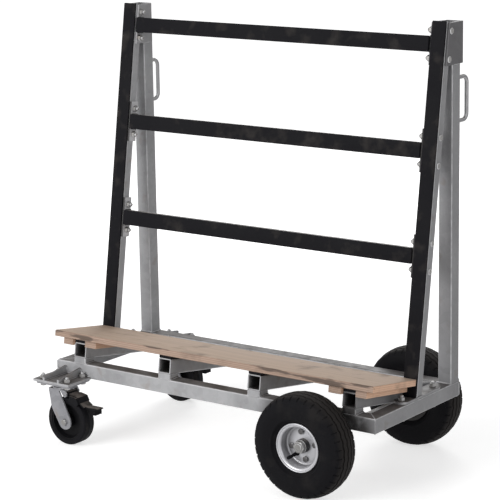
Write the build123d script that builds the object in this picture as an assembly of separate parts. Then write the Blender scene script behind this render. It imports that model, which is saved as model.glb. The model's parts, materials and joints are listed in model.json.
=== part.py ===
from build123d import *
import math
import os

# Glass cart: a raked rack on a welded tube base, with two fixed wheels and two braked castors.
# Millimetres. X runs along the cart with the castors at minus X, Y runs from the load side
# at minus Y to the back, and Z is up from the floor under the middle of the base.

# Base frame
FRAME_LENGTH = 974.0
BASE_DEPTH = 381.0
FRAME_HEIGHT = 925.0
TUBE = 38.1
TUBE_WALL = 3.0
TUBE_BEND = 1.5

# Rack: raked posts, slats and their rubber
RAKE = 8.7
RACK_DEPTH = 25.4
RUBBER = 5.0
SLAT_HEIGHT = 38.1
SLAT_COUNT = 3
SLAT_DROP = 55.0
SLAT_PITCH = 252.0
PLATE = 6.0
END_PLATE_HEIGHT = 104.0
END_BOLT_PITCH = 67.0
GUSSET_HEIGHT = 100.0
GUSSET_EDGE = 3.0
GUSSET_SET_IN = 10.0
FOOT_BOLT_FRONT = 50.0
FOOT_BOLT_REAR = 92.0
FOOT_MARGIN = 17.0

# Deck, cleats and arms
DECK_WIDTH = 192.0
DECK_THICK = 16.0
DECK_GAP = 1.0
DECK_END_INSET = 1.5
PAD_THICK = 10.0
CLEAT_THICK = 18.0
CLEAT_END_INSET = 24.0
CLEAT_INNER_WIDTH = 36.0
CLEAT_SETBACK = 10.0
CLEAT_GAP = 1.0
ARM_COUNT = 4
ARM_END_INSET = 75.0
ARM_SETBACK = 2.0

# Handles
HANDLE_ROD = 10.0
HANDLE_HEIGHT = 105.0
HANDLE_REACH = 49.0
HANDLE_BEND = 16.0
HANDLE_OFFSET = 7.0
RIGHT_HANDLE_DROP = 190.0
LEFT_HANDLE_DROP = 208.0

# Bolts and nuts of the frame
BOLT = 9.5
BOLT_HEAD_FLATS = 14.3
BOLT_HEAD = 6.4
LOW_HEAD = 3.0
LOW_HEAD_RADIUS = 8.0
LOW_HEAD_ROUND = 2.0
NUT = 8.2
BOLT_TIP = 5.0
HOLE_CLEAR = 0.5
THREAD_CLEAR = 0.05

# Fixed wheels and their axle
TYRE_RADIUS = 128.0
TYRE_WIDTH = 85.0
TREAD_WIDTH = 66.0
TREAD_CROWN = 7.0
TYRE_WALL = 7.0
TYRE_BULGE = 0.55
TREAD_GROOVES = 4
GROOVE_PITCH = 13.5
GROOVE_WIDTH = 4.0
GROOVE_DEPTH = 4.5
TYRE_RIDGE = 2.0
TYRE_RIDGE_PLACE = 0.78
RIM_RADIUS = 51.0
RIM_FLANGE = 9.0
RIM_WIDTH = 60.0
RIM_SHEET = 2.5
RIM_BEND = 6.0
RIM_ROLL = 2.2
RIM_FIT = 0.2
RIM_BOLT = 8.0
RIM_BOLT_FLATS = 13.0
RIM_BOLT_HEAD = 5.0
RIM_BOLT_CIRCLE = 67.0
RIM_BOLT_COUNT = 4
RIM_BOLT_TURN = -10.0
WHEEL_INSET = 162.0
WHEEL_OFFSET = 56.0
HUB_RADIUS = 17.0
HUB_OUT = 14.0
HUB_IN = 38.0
AXLE = 19.05
AXLE_CLEAR = 0.05
AXLE_TIP = 2.0
AXLE_NUT = 9.0
AXLE_NUT_FLATS = 26.0
AXLE_WASHER = 3.0
AXLE_WASHER_RADIUS = 16.0
HANGER_THICK = 8.0
HANGER_WIDTH = 80.0
HANGER_EYE = 22.0
SPACER_RADIUS = 14.0
RUN_GAP = 0.3

# Swivel castors
CASTOR_HEIGHT = 165.0
CASTOR_INSET = 52.0
CASTOR_OFFSET = 40.0
CASTOR_PLATE_LENGTH = 105.0
CASTOR_PLATE_WIDTH = 85.0
CASTOR_BOLT_LENGTH = 80.0
CASTOR_BOLT_WIDTH = 60.0
OUTRIGGER_LENGTH = 118.0
OUTRIGGER_REACH = 88.0
OUTRIGGER_SPAN = 48.0
OUTRIGGER_RISE = 20.0
OUTRIGGER_TIP = 8.0
CASTOR_RADIUS = 62.5
CASTOR_WIDTH = 38.0
CASTOR_TREAD = 13.0
CASTOR_TREAD_ROUND = 4.0
CASTOR_TRAIL = 23.0
CASTOR_HUB_RADIUS = 14.0
CASTOR_AXLE = 9.5
FORK_SHEET = 4.0
FORK_SIDE_GAP = 1.0
FORK_EYE = 20.0
FORK_BACK = 27.0
FORK_FRONT = 25.0
FORK_NECK = 32.0
FORK_SHOULDER = 21.5
FORK_EAR_ROOT = 12.0
HUB_SIDE = 2.0
RACE_RADIUS = 27.0
RACE_HEIGHT = 4.0
BALL_RING = 4.0
KINGPIN = 12.0
KINGPIN_HEAD = 4.5
KINGPIN_HEAD_RADIUS = 10.0
BRAKE_PIN = 6.0
BRAKE_PIN_ANGLE = 88.0
BRAKE_END_ANGLE = 37.0
BRAKE_STAND_OFF = 8.5
BRAKE_SHEET = 3.5
BRAKE_WIDTH = 34.0
HOOD_START = 13.0
HOOD_DROP = 6.5
HOOD_CORNER = 35.0
HOOD_ANGLE = 50.0
HOOD_STAND_OFF = 4.5
HOOD_SHEET = 2.5
HOOD_SIDE_GAP = 1.5
HOOD_LAP = 5.0
HOOD_BEND = 4.0
BRAKE_TAB = 40.0
BRAKE_TAB_WIDTH = 22.0
BRAKE_PAD = 14.0
BRAKE_PAD_WIDTH = 26.0
BRAKE_PAD_LENGTH = 19.0
BRAKE_PAD_SETBACK = 5.0

# Places worked out from the sizes above
HALF_L = FRAME_LENGTH / 2
HALF_D = BASE_DEPTH / 2
RAIL_Z = CASTOR_HEIGHT
RAIL_MID = RAIL_Z + TUBE / 2
RAIL_TOP = RAIL_Z + TUBE
POST_TOP = RAIL_Z + FRAME_HEIGHT
POST_X = HALF_L - TUBE / 2
POST_Y = HALF_D - TUBE / 2
POST_FRONT = HALF_D - TUBE
FOOT_TOP = RAIL_TOP + PLATE
RAKE_SIN = math.sin(math.radians(RAKE))
RAKE_COS = math.cos(math.radians(RAKE))
RAKE_UP = (0, RAKE_SIN, RAKE_COS)

# The rack's own frame: its origin is where the back of a raked post meets the upright post at
# the top, its Z runs up the rake and its Y runs towards the back.
RACK = Plane(origin=(0, POST_FRONT, POST_TOP), x_dir=(1, 0, 0), z_dir=RAKE_UP)
RACK_LONG = FRAME_HEIGHT / RAKE_COS
RACK_FACE = -RACK_DEPTH - RUBBER
SLAT_LEVELS = [-SLAT_DROP - SLAT_PITCH * i for i in range(SLAT_COUNT)]
SLAT_LENGTH = FRAME_LENGTH - 2 * TUBE - 2 * PLATE
ARM_AXIS = -(POST_TOP - RAIL_MID) * RAKE_COS
ARM_TOP = ARM_AXIS + TUBE / 2
ARM_BOTTOM = ARM_AXIS - TUBE / 2
ARM_FRONT = (-HALF_D + ARM_SETBACK - POST_FRONT - ARM_BOTTOM * RAKE_SIN) / RAKE_COS
ARM_PITCH = (FRAME_LENGTH - 2 * ARM_END_INSET) / (ARM_COUNT - 1)
ARM_PLACES = [-HALF_L + ARM_END_INSET + ARM_PITCH * i for i in range(ARM_COUNT)]
DECK_UNDER = ARM_TOP + PAD_THICK
DECK_BACK = RACK_FACE - DECK_GAP
DECK_FRONT = DECK_BACK - DECK_WIDTH

WHEEL_X = HALF_L - WHEEL_INSET
WHEEL_Y = HALF_D + WHEEL_OFFSET
AXLE_END = WHEEL_Y + HUB_OUT + RUN_GAP + AXLE_WASHER + AXLE_NUT + AXLE_TIP
RIM_EDGE = RIM_WIDTH / 2
BEAD_ROUND = RIM_BEND - RIM_SHEET / 2

CASTOR_X = -HALF_L + CASTOR_INSET
CASTOR_Y = HALF_D + CASTOR_OFFSET
PLATE_UNDER = CASTOR_HEIGHT - PLATE
BALL_TOP = PLATE_UNDER - RACE_HEIGHT - RUN_GAP
FORK_TOP = BALL_TOP - BALL_RING
FORK_CROWN = FORK_TOP - RACE_HEIGHT
FORK_INNER = CASTOR_WIDTH / 2 + HUB_SIDE + FORK_SIDE_GAP
FORK_OUTER = FORK_INNER + FORK_SHEET
BRAKE_MID = CASTOR_RADIUS + BRAKE_STAND_OFF + BRAKE_SHEET / 2
BRAKE_EYE = BRAKE_PIN / 2 + BRAKE_SHEET
HOOD_MID = CASTOR_RADIUS + HOOD_STAND_OFF + BRAKE_SHEET / 2
HOOD_INNER = CASTOR_WIDTH / 2 + HOOD_SIDE_GAP


def save(node, *solids):
    """Writes one node: a single solid, or a group of separate ones."""
    bodies = [body for solid in solids for body in solid.solids()]
    shape = bodies[0] if len(bodies) == 1 else Compound(bodies)
    export_step(shape, os.path.join("parts", node + ".step"))


def both_sides(solid, about):
    """A solid and its mirror image."""
    return [solid, mirror(solid, about=about)]


def rack_world(y, z):
    """World Y and Z of a point of the rack's frame."""
    return (POST_FRONT + y * RAKE_COS + z * RAKE_SIN, POST_TOP - y * RAKE_SIN + z * RAKE_COS)


def rack_line_at(y, height):
    """World Y where the line along the rake at depth y reaches a height."""
    along = (height - POST_TOP + y * RAKE_SIN) / RAKE_COS
    return rack_world(y, along)[0]


def tube_section(width, depth):
    """Rounded rectangle tube, drawn about its centre."""
    outer = RectangleRounded(width, depth, TUBE_BEND + TUBE_WALL)
    inner = RectangleRounded(width - 2 * TUBE_WALL, depth - 2 * TUBE_WALL, TUBE_BEND)
    return outer - inner


def level_box(x_range, y_range, z_range):
    """A box between two corners."""
    size = [high - low for low, high in (x_range, y_range, z_range)]
    middle = [(high + low) / 2 for low, high in (x_range, y_range, z_range)]
    return Pos(*middle) * Box(*size)


def hex_prism(flats, height):
    """Hexagon standing on its base at the origin."""
    return extrude(RegularPolygon(flats / 2, 6, major_radius=False), height)


def hex_bolt(diameter, flats, head, length):
    """Bolt along Z: the head hangs below the origin and the shank stands above it."""
    shank = Pos(0, 0, length / 2) * Cylinder(diameter / 2, length)
    return shank + Pos(0, 0, -head) * hex_prism(flats, head)


def hex_nut(diameter, flats, height):
    """Nut standing on the origin, its thread a hair wider than the bolt."""
    bore = Cylinder(diameter / 2 + THREAD_CLEAR, 4 * height)
    return hex_prism(flats, height) - bore


def frame_nut(grip):
    """Frame nut that closes a stack of the given thickness above the origin."""
    return Pos(0, 0, grip) * hex_nut(BOLT, BOLT_HEAD_FLATS, NUT)


def frame_bolt(grip):
    """Frame bolt and nut that clamp a stack of the given thickness above the origin."""
    bolt = hex_bolt(BOLT, BOLT_HEAD_FLATS, BOLT_HEAD, grip + NUT + BOLT_TIP)
    return [bolt, frame_nut(grip)]


def low_bolt(grip):
    """Bolt with a low round head, and its nut, in the same place as a frame bolt."""
    length = grip + NUT + BOLT_TIP
    shank = Pos(0, 0, length / 2) * Cylinder(BOLT / 2, length)
    head = Pos(0, 0, -LOW_HEAD / 2) * Cylinder(LOW_HEAD_RADIUS, LOW_HEAD)
    head = fillet(head.edges().group_by(Axis.Z)[0], LOW_HEAD_ROUND)
    return [shank + head, frame_nut(grip)]


def bolt_hole(length):
    """Clearance hole for a frame bolt, along Z and centred."""
    return Cylinder(BOLT / 2 + HOLE_CLEAR, length)


def turned(points):
    """Solid of revolution about Y from points given as (along Y, radius)."""
    return revolve(Plane.YZ * make_face(Polyline(*points, close=True)), Axis.Y)


# Base rails, mitred at the four corners

def mitre(x_side, y_side):
    """Vertical plane through a corner of the base; its front faces the end rail."""
    return Plane(origin=(x_side * HALF_L, y_side * HALF_D, RAIL_MID), z_dir=(x_side, -y_side, 0))


def front_rail():
    start = Plane(origin=(-HALF_L, -POST_Y, RAIL_MID), x_dir=(0, 1, 0), z_dir=(1, 0, 0))
    rail = extrude(start * tube_section(TUBE, TUBE), FRAME_LENGTH)
    for side in (-1, 1):
        rail = split(rail, bisect_by=mitre(side, -1), keep=Keep.BOTTOM)
    return rail


def right_end_rail():
    start = Plane(origin=(POST_X, -HALF_D, RAIL_MID), x_dir=(1, 0, 0), z_dir=(0, 1, 0))
    rail = extrude(start * tube_section(TUBE, TUBE), BASE_DEPTH)
    for side in (-1, 1):
        rail = split(rail, bisect_by=mitre(1, side), keep=Keep.TOP)
    for y in FOOT_BOLTS:
        rail -= Pos(POST_X, y, RAIL_MID) * bolt_hole(2 * TUBE)
    return rail


# Arms, risers, pads, deck and cleats, all square to the rack

def support_arm(x):
    start = Plane(origin=(x, ARM_FRONT, ARM_AXIS), x_dir=(1, 0, 0), z_dir=(0, 1, 0))
    arm = RACK * extrude(start * tube_section(TUBE, TUBE), BASE_DEPTH / RAKE_COS)
    return split(arm, bisect_by=Plane(origin=(0, POST_FRONT, 0), z_dir=(0, 1, 0)), keep=Keep.BOTTOM)


def arm_riser(x):
    stub = extrude(Pos(x, -POST_Y, RAIL_TOP) * tube_section(TUBE, TUBE), FRAME_HEIGHT)
    under = Plane(origin=(0, *rack_world(0, ARM_BOTTOM)), z_dir=RAKE_UP)
    return split(stub, bisect_by=under, keep=Keep.BOTTOM)


def arm_pad(x):
    return RACK * level_box((x - TUBE / 2, x + TUBE / 2), (ARM_FRONT, DECK_BACK), (ARM_TOP, DECK_UNDER))


def deck_board():
    end = HALF_L - DECK_END_INSET
    return RACK * level_box((-end, end), (DECK_FRONT, DECK_BACK), (DECK_UNDER, DECK_UNDER + DECK_THICK))


def deck_cleats():
    """The two cleats at the right end, one each side of the end arm."""
    arm = ARM_PLACES[-1]
    side = TUBE / 2 + CLEAT_GAP
    spans = [(arm - side - CLEAT_INNER_WIDTH, arm - side), (arm + side, HALF_L - CLEAT_END_INSET)]
    deep = (DECK_FRONT + CLEAT_SETBACK, DECK_BACK)
    high = (DECK_UNDER - CLEAT_THICK, DECK_UNDER)
    return [RACK * level_box(span, deep, high) for span in spans]


# Posts, slats, plates and handles

def upright_post():
    return extrude(Pos(POST_X, POST_Y, RAIL_TOP) * tube_section(TUBE, TUBE), POST_TOP - RAIL_TOP)


def above_foot(solid):
    """Trims the lower end of a raked piece level with the foot plate."""
    return split(solid, bisect_by=Plane(origin=(0, 0, FOOT_TOP), z_dir=(0, 0, 1)), keep=Keep.TOP)


def slat_bolt_levels(level):
    return [level + END_BOLT_PITCH / 2, level - END_BOLT_PITCH / 2]


def slat_bolt_places(x, level):
    """Places along X of the two bolts that hold a slat's end."""
    return [RACK * Pos(x, -RACK_DEPTH / 2, z) * Rot(0, 90, 0) for z in slat_bolt_levels(level)]


def raked_post():
    section = Pos(POST_X, -RACK_DEPTH / 2, -RACK_LONG) * tube_section(TUBE, RACK_DEPTH)
    post = above_foot(RACK * extrude(section, RACK_LONG))
    for level in SLAT_LEVELS:
        for place in slat_bolt_places(POST_X, level):
            post -= place * bolt_hole(2 * TUBE)
    return post


def post_rubber():
    x_range = (POST_X - TUBE / 2, POST_X + TUBE / 2)
    return above_foot(RACK * level_box(x_range, (RACK_FACE, -RACK_DEPTH), (-RACK_LONG, 0)))


def slat(level):
    bar = extrude(tube_section(SLAT_HEIGHT, RACK_DEPTH), SLAT_LENGTH / 2, both=True)
    return RACK * Pos(0, -RACK_DEPTH / 2, level) * Rot(0, 90, 0) * bar


def slat_rubber(level):
    half = SLAT_LENGTH / 2
    z_range = (level - SLAT_HEIGHT / 2, level + SLAT_HEIGHT / 2)
    return RACK * level_box((-half, half), (RACK_FACE, -RACK_DEPTH), z_range)


def slat_end_plate(level):
    inner = POST_X - TUBE / 2
    z_range = (level - END_PLATE_HEIGHT / 2, level + END_PLATE_HEIGHT / 2)
    plate = RACK * level_box((inner - PLATE, inner), (-RACK_DEPTH, 0), z_range)
    for place in slat_bolt_places(inner, level):
        plate -= place * bolt_hole(4 * PLATE)
    return plate


def gusset_plate(x, rear):
    """Plate from X to X plus its thickness that ties a raked post to its upright post."""
    edge = -RACK_DEPTH + GUSSET_EDGE
    low = POST_TOP - GUSSET_HEIGHT
    outline = [
        (rack_line_at(edge, POST_TOP), POST_TOP),
        (rear, POST_TOP),
        (rear, low),
        (rack_line_at(edge, low), low),
    ]
    plate = extrude(Plane.YZ.offset(x) * make_face(Polyline(*outline, close=True)), PLATE)
    for place in slat_bolt_places(x, SLAT_LEVELS[0]):
        plate -= place * bolt_hole(4 * PLATE)
    return plate


FOOT_MIDDLE = rack_line_at(-RACK_DEPTH / 2, FOOT_TOP)
FOOT_BOLTS = [FOOT_MIDDLE - FOOT_BOLT_FRONT, FOOT_MIDDLE + FOOT_BOLT_REAR]


def foot_plate():
    length = FOOT_BOLTS[1] - FOOT_BOLTS[0] + 2 * FOOT_MARGIN
    middle = sum(FOOT_BOLTS) / 2
    outline = Pos(POST_X, middle, RAIL_TOP) * Rot(0, 0, 90) * SlotOverall(length, TUBE)
    plate = extrude(outline, PLATE)
    for y in FOOT_BOLTS:
        plate -= Pos(POST_X, y, RAIL_TOP) * bolt_hole(4 * PLATE)
    return plate


def handle(drop):
    """Bent rod on the back of the right upright post, its middle a drop below the post's top."""
    middle = POST_TOP - drop
    x = POST_X + HANDLE_OFFSET
    corners = [
        (x, HALF_D, middle - HANDLE_HEIGHT / 2),
        (x, HALF_D + HANDLE_REACH, middle - HANDLE_HEIGHT / 2),
        (x, HALF_D + HANDLE_REACH, middle + HANDLE_HEIGHT / 2),
        (x, HALF_D, middle + HANDLE_HEIGHT / 2),
    ]
    path = FilletPolyline(*corners, radius=HANDLE_BEND)
    return sweep(Plane(origin=path @ 0, z_dir=path % 0) * Circle(HANDLE_ROD / 2), path)


def rack_bolts():
    """Bolts of the slats, with their nuts inwards, and of the foot plate at the right side."""
    pieces = []
    inner = POST_X - TUBE / 2 - PLATE
    for level in SLAT_LEVELS:
        grip = TUBE + (2 * PLATE if level == SLAT_LEVELS[0] else PLATE)
        for place in slat_bolt_places(inner + grip, level):
            pieces += [place * Rot(0, 180, 0) * piece for piece in low_bolt(grip)]
    for y in FOOT_BOLTS:
        pieces += [Pos(POST_X, y, RAIL_Z) * piece for piece in frame_bolt(TUBE + PLATE)]
    return pieces


# Fixed wheels: built about the front wheel's centre line, outwards along minus Y

WHEEL = Pos(WHEEL_X, -WHEEL_Y, TYRE_RADIUS)


def wheel_turned(points):
    """Wheel piece from points given as (distance outwards, radius)."""
    return WHEEL * turned([(-out, radius) for out, radius in points])


def tread_groove_places():
    first = -GROOVE_PITCH * (TREAD_GROOVES - 1) / 2
    return [first + GROOVE_PITCH * i for i in range(TREAD_GROOVES)]


def tyre():
    """Hollow grooved tyre, open at the rim, with its beads against the rim's flanges."""
    shoulder = TYRE_RADIUS - TREAD_CROWN
    tread = TREAD_WIDTH / 2
    wide = TYRE_WIDTH / 2
    bead = RIM_RADIUS + RIM_FIT
    flange = bead + RIM_FLANGE
    bead_out = RIM_EDGE - RIM_SHEET - RIM_FIT
    bulge = flange + TYRE_BULGE * (shoulder - flange)
    crown = ThreePointArc((-tread, shoulder), (0, TYRE_RADIUS), (tread, shoulder))
    side = ThreePointArc((tread, shoulder), (wide, bulge), (bead_out, flange))
    section = make_face([
        crown,
        side,
        FilletPolyline(
            (bead_out, flange),
            (bead_out, bead),
            (-bead_out, bead),
            (-bead_out, flange),
            radius=BEAD_ROUND,
        ),
        ThreePointArc((-bead_out, flange), (-wide, bulge), (-tread, shoulder)),
    ])
    ridge = side @ TYRE_RIDGE_PLACE
    for sign in (-1, 1):
        section += Pos(sign * ridge.X, ridge.Y) * Circle(TYRE_RIDGE)
    for across in tread_groove_places():
        surface = TYRE_RADIUS - TREAD_CROWN * (across / tread) ** 2
        section -= Pos(across, surface) * Rectangle(GROOVE_WIDTH, 2 * GROOVE_DEPTH)
    cavity = [
        (bead_out - TYRE_WALL, bead),
        (bead_out - TYRE_WALL, flange),
        (wide - TYRE_WALL, bulge),
        (tread - TYRE_WALL, shoulder - TYRE_WALL),
    ]
    cavity += [(-out, radius) for out, radius in reversed(cavity)]
    section -= make_face(Polyline(*cavity, close=True))
    return WHEEL * revolve(Plane.YZ * section, Axis.Y)


def rim_half(side):
    """Pressed half rim with a rolled lip: side is 1 for the outer half and -1 for the inner half."""
    disc = -side * RIM_SHEET / 2
    flange = -side * (RIM_EDGE - RIM_SHEET / 2)
    barrel = RIM_RADIUS - RIM_SHEET / 2
    lip = RIM_RADIUS + RIM_FLANGE - RIM_ROLL
    corners = [(disc, HUB_RADIUS + RIM_FIT), (disc, barrel), (flange, barrel), (flange, lip)]
    section = trace(FilletPolyline(*corners, radius=RIM_BEND), RIM_SHEET)
    section += Pos(-side * (RIM_EDGE - RIM_SHEET + RIM_ROLL), lip) * Circle(RIM_ROLL)
    half = WHEEL * revolve(Plane.YZ * section, Axis.Y)
    for place in rim_bolt_places():
        half -= place * Cylinder(RIM_BOLT / 2 + HOLE_CLEAR, 8 * RIM_SHEET)
    return half


def rim_bolt_places():
    """Places on the outer disc face, with Z pointing in towards the frame."""
    ring = WHEEL * Pos(0, -RIM_SHEET, 0) * Rot(-90, 0, 0)
    return [ring * spot for spot in PolarLocations(RIM_BOLT_CIRCLE / 2, RIM_BOLT_COUNT, RIM_BOLT_TURN)]


def rim_bolts():
    grip = 2 * RIM_SHEET
    bolt = hex_bolt(RIM_BOLT, RIM_BOLT_FLATS, RIM_BOLT_HEAD, grip + RIM_BOLT_HEAD + RIM_SHEET)
    nut = Pos(0, 0, grip) * hex_nut(RIM_BOLT, RIM_BOLT_FLATS, RIM_BOLT_HEAD)
    return [place * piece for place in rim_bolt_places() for piece in (bolt, nut)]


def hub():
    bore = AXLE / 2 + AXLE_CLEAR
    return wheel_turned([(HUB_OUT, bore), (HUB_OUT, HUB_RADIUS), (-HUB_IN, HUB_RADIUS), (-HUB_IN, bore)])


def axle():
    return Pos(WHEEL_X, 0, TYRE_RADIUS) * Rot(90, 0, 0) * Cylinder(AXLE / 2, 2 * AXLE_END)


def axle_hanger():
    """Plate under the front rail with an eye for the axle."""
    top = Pos(WHEEL_X, RAIL_Z - HANGER_THICK / 2) * Rectangle(HANGER_WIDTH, HANGER_THICK)
    eye = Pos(WHEEL_X, TYRE_RADIUS) * Circle(HANGER_EYE)
    hole = Pos(WHEEL_X, TYRE_RADIUS) * Circle(AXLE / 2 + AXLE_CLEAR)
    outline = make_hull(top.edges() + eye.edges()) - hole
    return extrude(Plane.XZ.offset(POST_Y) * outline, HANGER_THICK / 2, both=True)


def axle_spacer():
    bore = AXLE / 2 + AXLE_CLEAR
    inner = -(WHEEL_Y - POST_Y - HANGER_THICK / 2)
    outer = -HUB_IN - RUN_GAP
    return wheel_turned([(outer, bore), (outer, SPACER_RADIUS), (inner, SPACER_RADIUS), (inner, bore)])


def axle_end_fixings():
    """Washer and nut outside the front wheel's hub."""
    bore = AXLE / 2 + AXLE_CLEAR
    low = HUB_OUT + RUN_GAP
    high = low + AXLE_WASHER
    washer = wheel_turned([
        (low, bore),
        (low, AXLE_WASHER_RADIUS),
        (high, AXLE_WASHER_RADIUS),
        (high, bore),
    ])
    nut = WHEEL * Pos(0, -high, 0) * Rot(90, 0, 0) * hex_nut(AXLE, AXLE_NUT_FLATS, AXLE_NUT)
    return [washer, nut]


# Castors: built about the swivel axis with the wheel trailing towards plus X

CASTOR_HUB = Pos(CASTOR_TRAIL, 0, CASTOR_RADIUS)
CASTOR_BOLTS = list(GridLocations(CASTOR_BOLT_LENGTH, CASTOR_BOLT_WIDTH, 2, 2))


def over_tread(radius, angle):
    """Point over the castor's tread, given by radius and angle about the wheel's axle."""
    turn = math.radians(angle)
    return (CASTOR_TRAIL + radius * math.cos(turn), CASTOR_RADIUS + radius * math.sin(turn))


BRAKE_PIVOT = over_tread(BRAKE_MID, BRAKE_PIN_ANGLE)
BRAKE_HEEL = over_tread(BRAKE_MID, BRAKE_END_ANGLE)


def ring_on_axis(inner, outer, low, high):
    """Ring about the swivel axis."""
    ring = Circle(outer) - Circle(inner)
    return extrude(Pos(0, 0, low) * ring, high - low)


def outrigger():
    """Front outrigger: base plate and two tapering gussets on the front rail's face."""
    half = OUTRIGGER_LENGTH / 2
    tip = -HALF_D - OUTRIGGER_REACH
    low = RAIL_Z + PLATE
    bracket = level_box((-half, half), (tip, -HALF_D), (RAIL_Z, low))
    outline = [
        (-HALF_D, low),
        (-HALF_D, low + OUTRIGGER_RISE),
        (tip, low + OUTRIGGER_TIP),
        (tip, low),
    ]
    web = extrude(Plane.YZ * make_face(Polyline(*outline, close=True)), PLATE / 2, both=True)
    for side in (-1, 1):
        bracket += Pos(side * OUTRIGGER_SPAN / 2, 0, 0) * web
    for spot in CASTOR_BOLTS:
        bracket -= Pos(0, -CASTOR_Y, RAIL_Z) * spot * bolt_hole(4 * PLATE)
    return Pos(CASTOR_X, 0, 0) * bracket


def castor_plate():
    """Top plate with the upper race pressed under it."""
    plate = Pos(0, 0, PLATE_UNDER + PLATE / 2) * Box(CASTOR_PLATE_LENGTH, CASTOR_PLATE_WIDTH, PLATE)
    plate += ring_on_axis(KINGPIN / 2, RACE_RADIUS, PLATE_UNDER - RACE_HEIGHT, PLATE_UNDER)
    plate -= Pos(0, 0, CASTOR_HEIGHT) * Cylinder(KINGPIN / 2 + AXLE_CLEAR, CASTOR_HEIGHT)
    for spot in CASTOR_BOLTS:
        plate -= Pos(0, 0, PLATE_UNDER) * spot * bolt_hole(4 * PLATE)
    return plate


def castor_kingpin():
    head_top = FORK_CROWN - FORK_SHEET - RUN_GAP
    shank = extrude(Pos(0, 0, head_top) * Circle(KINGPIN / 2), CASTOR_HEIGHT - head_top)
    head = extrude(Pos(0, 0, head_top - KINGPIN_HEAD) * Circle(KINGPIN_HEAD_RADIUS), KINGPIN_HEAD)
    return shank + head


def castor_ball_ring():
    return ring_on_axis(KINGPIN, RACE_RADIUS - FORK_SHEET, FORK_TOP, BALL_TOP)


def castor_fork():
    """Pressed fork: crown with the lower race, and two legs with eyes for axle and brake pin."""
    crown_low = FORK_CROWN - FORK_SHEET
    crown_mid = FORK_CROWN - FORK_SHEET / 2
    neck = Pos(FORK_NECK / 2 - FORK_BACK, crown_mid) * Rectangle(FORK_NECK, FORK_SHEET)
    shoulder = Pos(CASTOR_TRAIL - FORK_SHOULDER, 2 * CASTOR_RADIUS - FORK_SHOULDER) * Circle(FORK_SHOULDER)
    eye = Pos(CASTOR_TRAIL, CASTOR_RADIUS) * Circle(FORK_EYE)
    root = Pos(FORK_FRONT - FORK_EAR_ROOT / 2, crown_mid) * Rectangle(FORK_EAR_ROOT, FORK_SHEET)
    ear = Pos(*BRAKE_PIVOT) * Circle(BRAKE_EYE)
    outline = make_hull(neck.edges() + shoulder.edges() + eye.edges())
    outline += make_hull(root.edges() + ear.edges())
    outline -= Pos(CASTOR_TRAIL, CASTOR_RADIUS) * Circle(CASTOR_AXLE / 2 + AXLE_CLEAR)
    outline -= Pos(*BRAKE_PIVOT) * Circle(BRAKE_PIN / 2 + AXLE_CLEAR)
    leg = extrude(Plane.XZ.offset(FORK_INNER) * outline, FORK_SHEET)
    fork = level_box((-FORK_BACK, FORK_FRONT), (-FORK_OUTER, FORK_OUTER), (crown_low, FORK_CROWN))
    fork += ring_on_axis(KINGPIN, RACE_RADIUS, FORK_CROWN, FORK_TOP)
    fork += leg + mirror(leg, about=Plane.XZ)
    return fork - Pos(0, 0, crown_low) * Cylinder(KINGPIN / 2 + AXLE_CLEAR, 4 * RACE_HEIGHT)


def castor_pins():
    """Axle bolt with its nut, and the brake lever's pin."""
    grip = 2 * FORK_OUTER
    across = Pos(CASTOR_TRAIL, -FORK_OUTER, CASTOR_RADIUS) * Rot(-90, 0, 0)
    bolt = hex_bolt(CASTOR_AXLE, BOLT_HEAD_FLATS, BOLT_HEAD, grip + NUT + BOLT_TIP)
    nut = Pos(0, 0, grip) * hex_nut(CASTOR_AXLE, BOLT_HEAD_FLATS, NUT)
    pin = Pos(BRAKE_PIVOT[0], 0, BRAKE_PIVOT[1]) * Rot(90, 0, 0) * Cylinder(BRAKE_PIN / 2, grip)
    return [across * bolt, across * nut, pin]


def castor_core():
    """Wheel centre: hub, web and the band that carries the tread."""
    bore = CASTOR_AXLE / 2 + AXLE_CLEAR
    hub_half = CASTOR_WIDTH / 2 + HUB_SIDE
    band = CASTOR_RADIUS - CASTOR_TREAD
    half = CASTOR_WIDTH / 2 - HUB_SIDE
    web = FORK_SHEET
    points = [
        (-hub_half, bore),
        (-hub_half, CASTOR_HUB_RADIUS),
        (-web, CASTOR_HUB_RADIUS + HUB_SIDE),
        (-web, band - 2 * FORK_SHEET),
        (-half, band - FORK_SHEET),
        (-half, band - RIM_FIT),
        (half, band - RIM_FIT),
        (half, band - FORK_SHEET),
        (web, band - 2 * FORK_SHEET),
        (web, CASTOR_HUB_RADIUS + HUB_SIDE),
        (hub_half, CASTOR_HUB_RADIUS),
        (hub_half, bore),
    ]
    return CASTOR_HUB * turned(points)


def castor_tread():
    """Solid rubber tread with rounded shoulders."""
    half = CASTOR_WIDTH / 2
    band = CASTOR_RADIUS - CASTOR_TREAD
    section = Pos(0, band + CASTOR_TREAD / 2) * Rectangle(2 * half, CASTOR_TREAD)
    shoulders = section.vertices().filter_by(lambda corner: corner.Y > band + CASTOR_TREAD / 2)
    section = fillet(shoulders, CASTOR_TREAD_ROUND)
    return CASTOR_HUB * revolve(Plane.YZ * section, Axis.Y)


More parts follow.
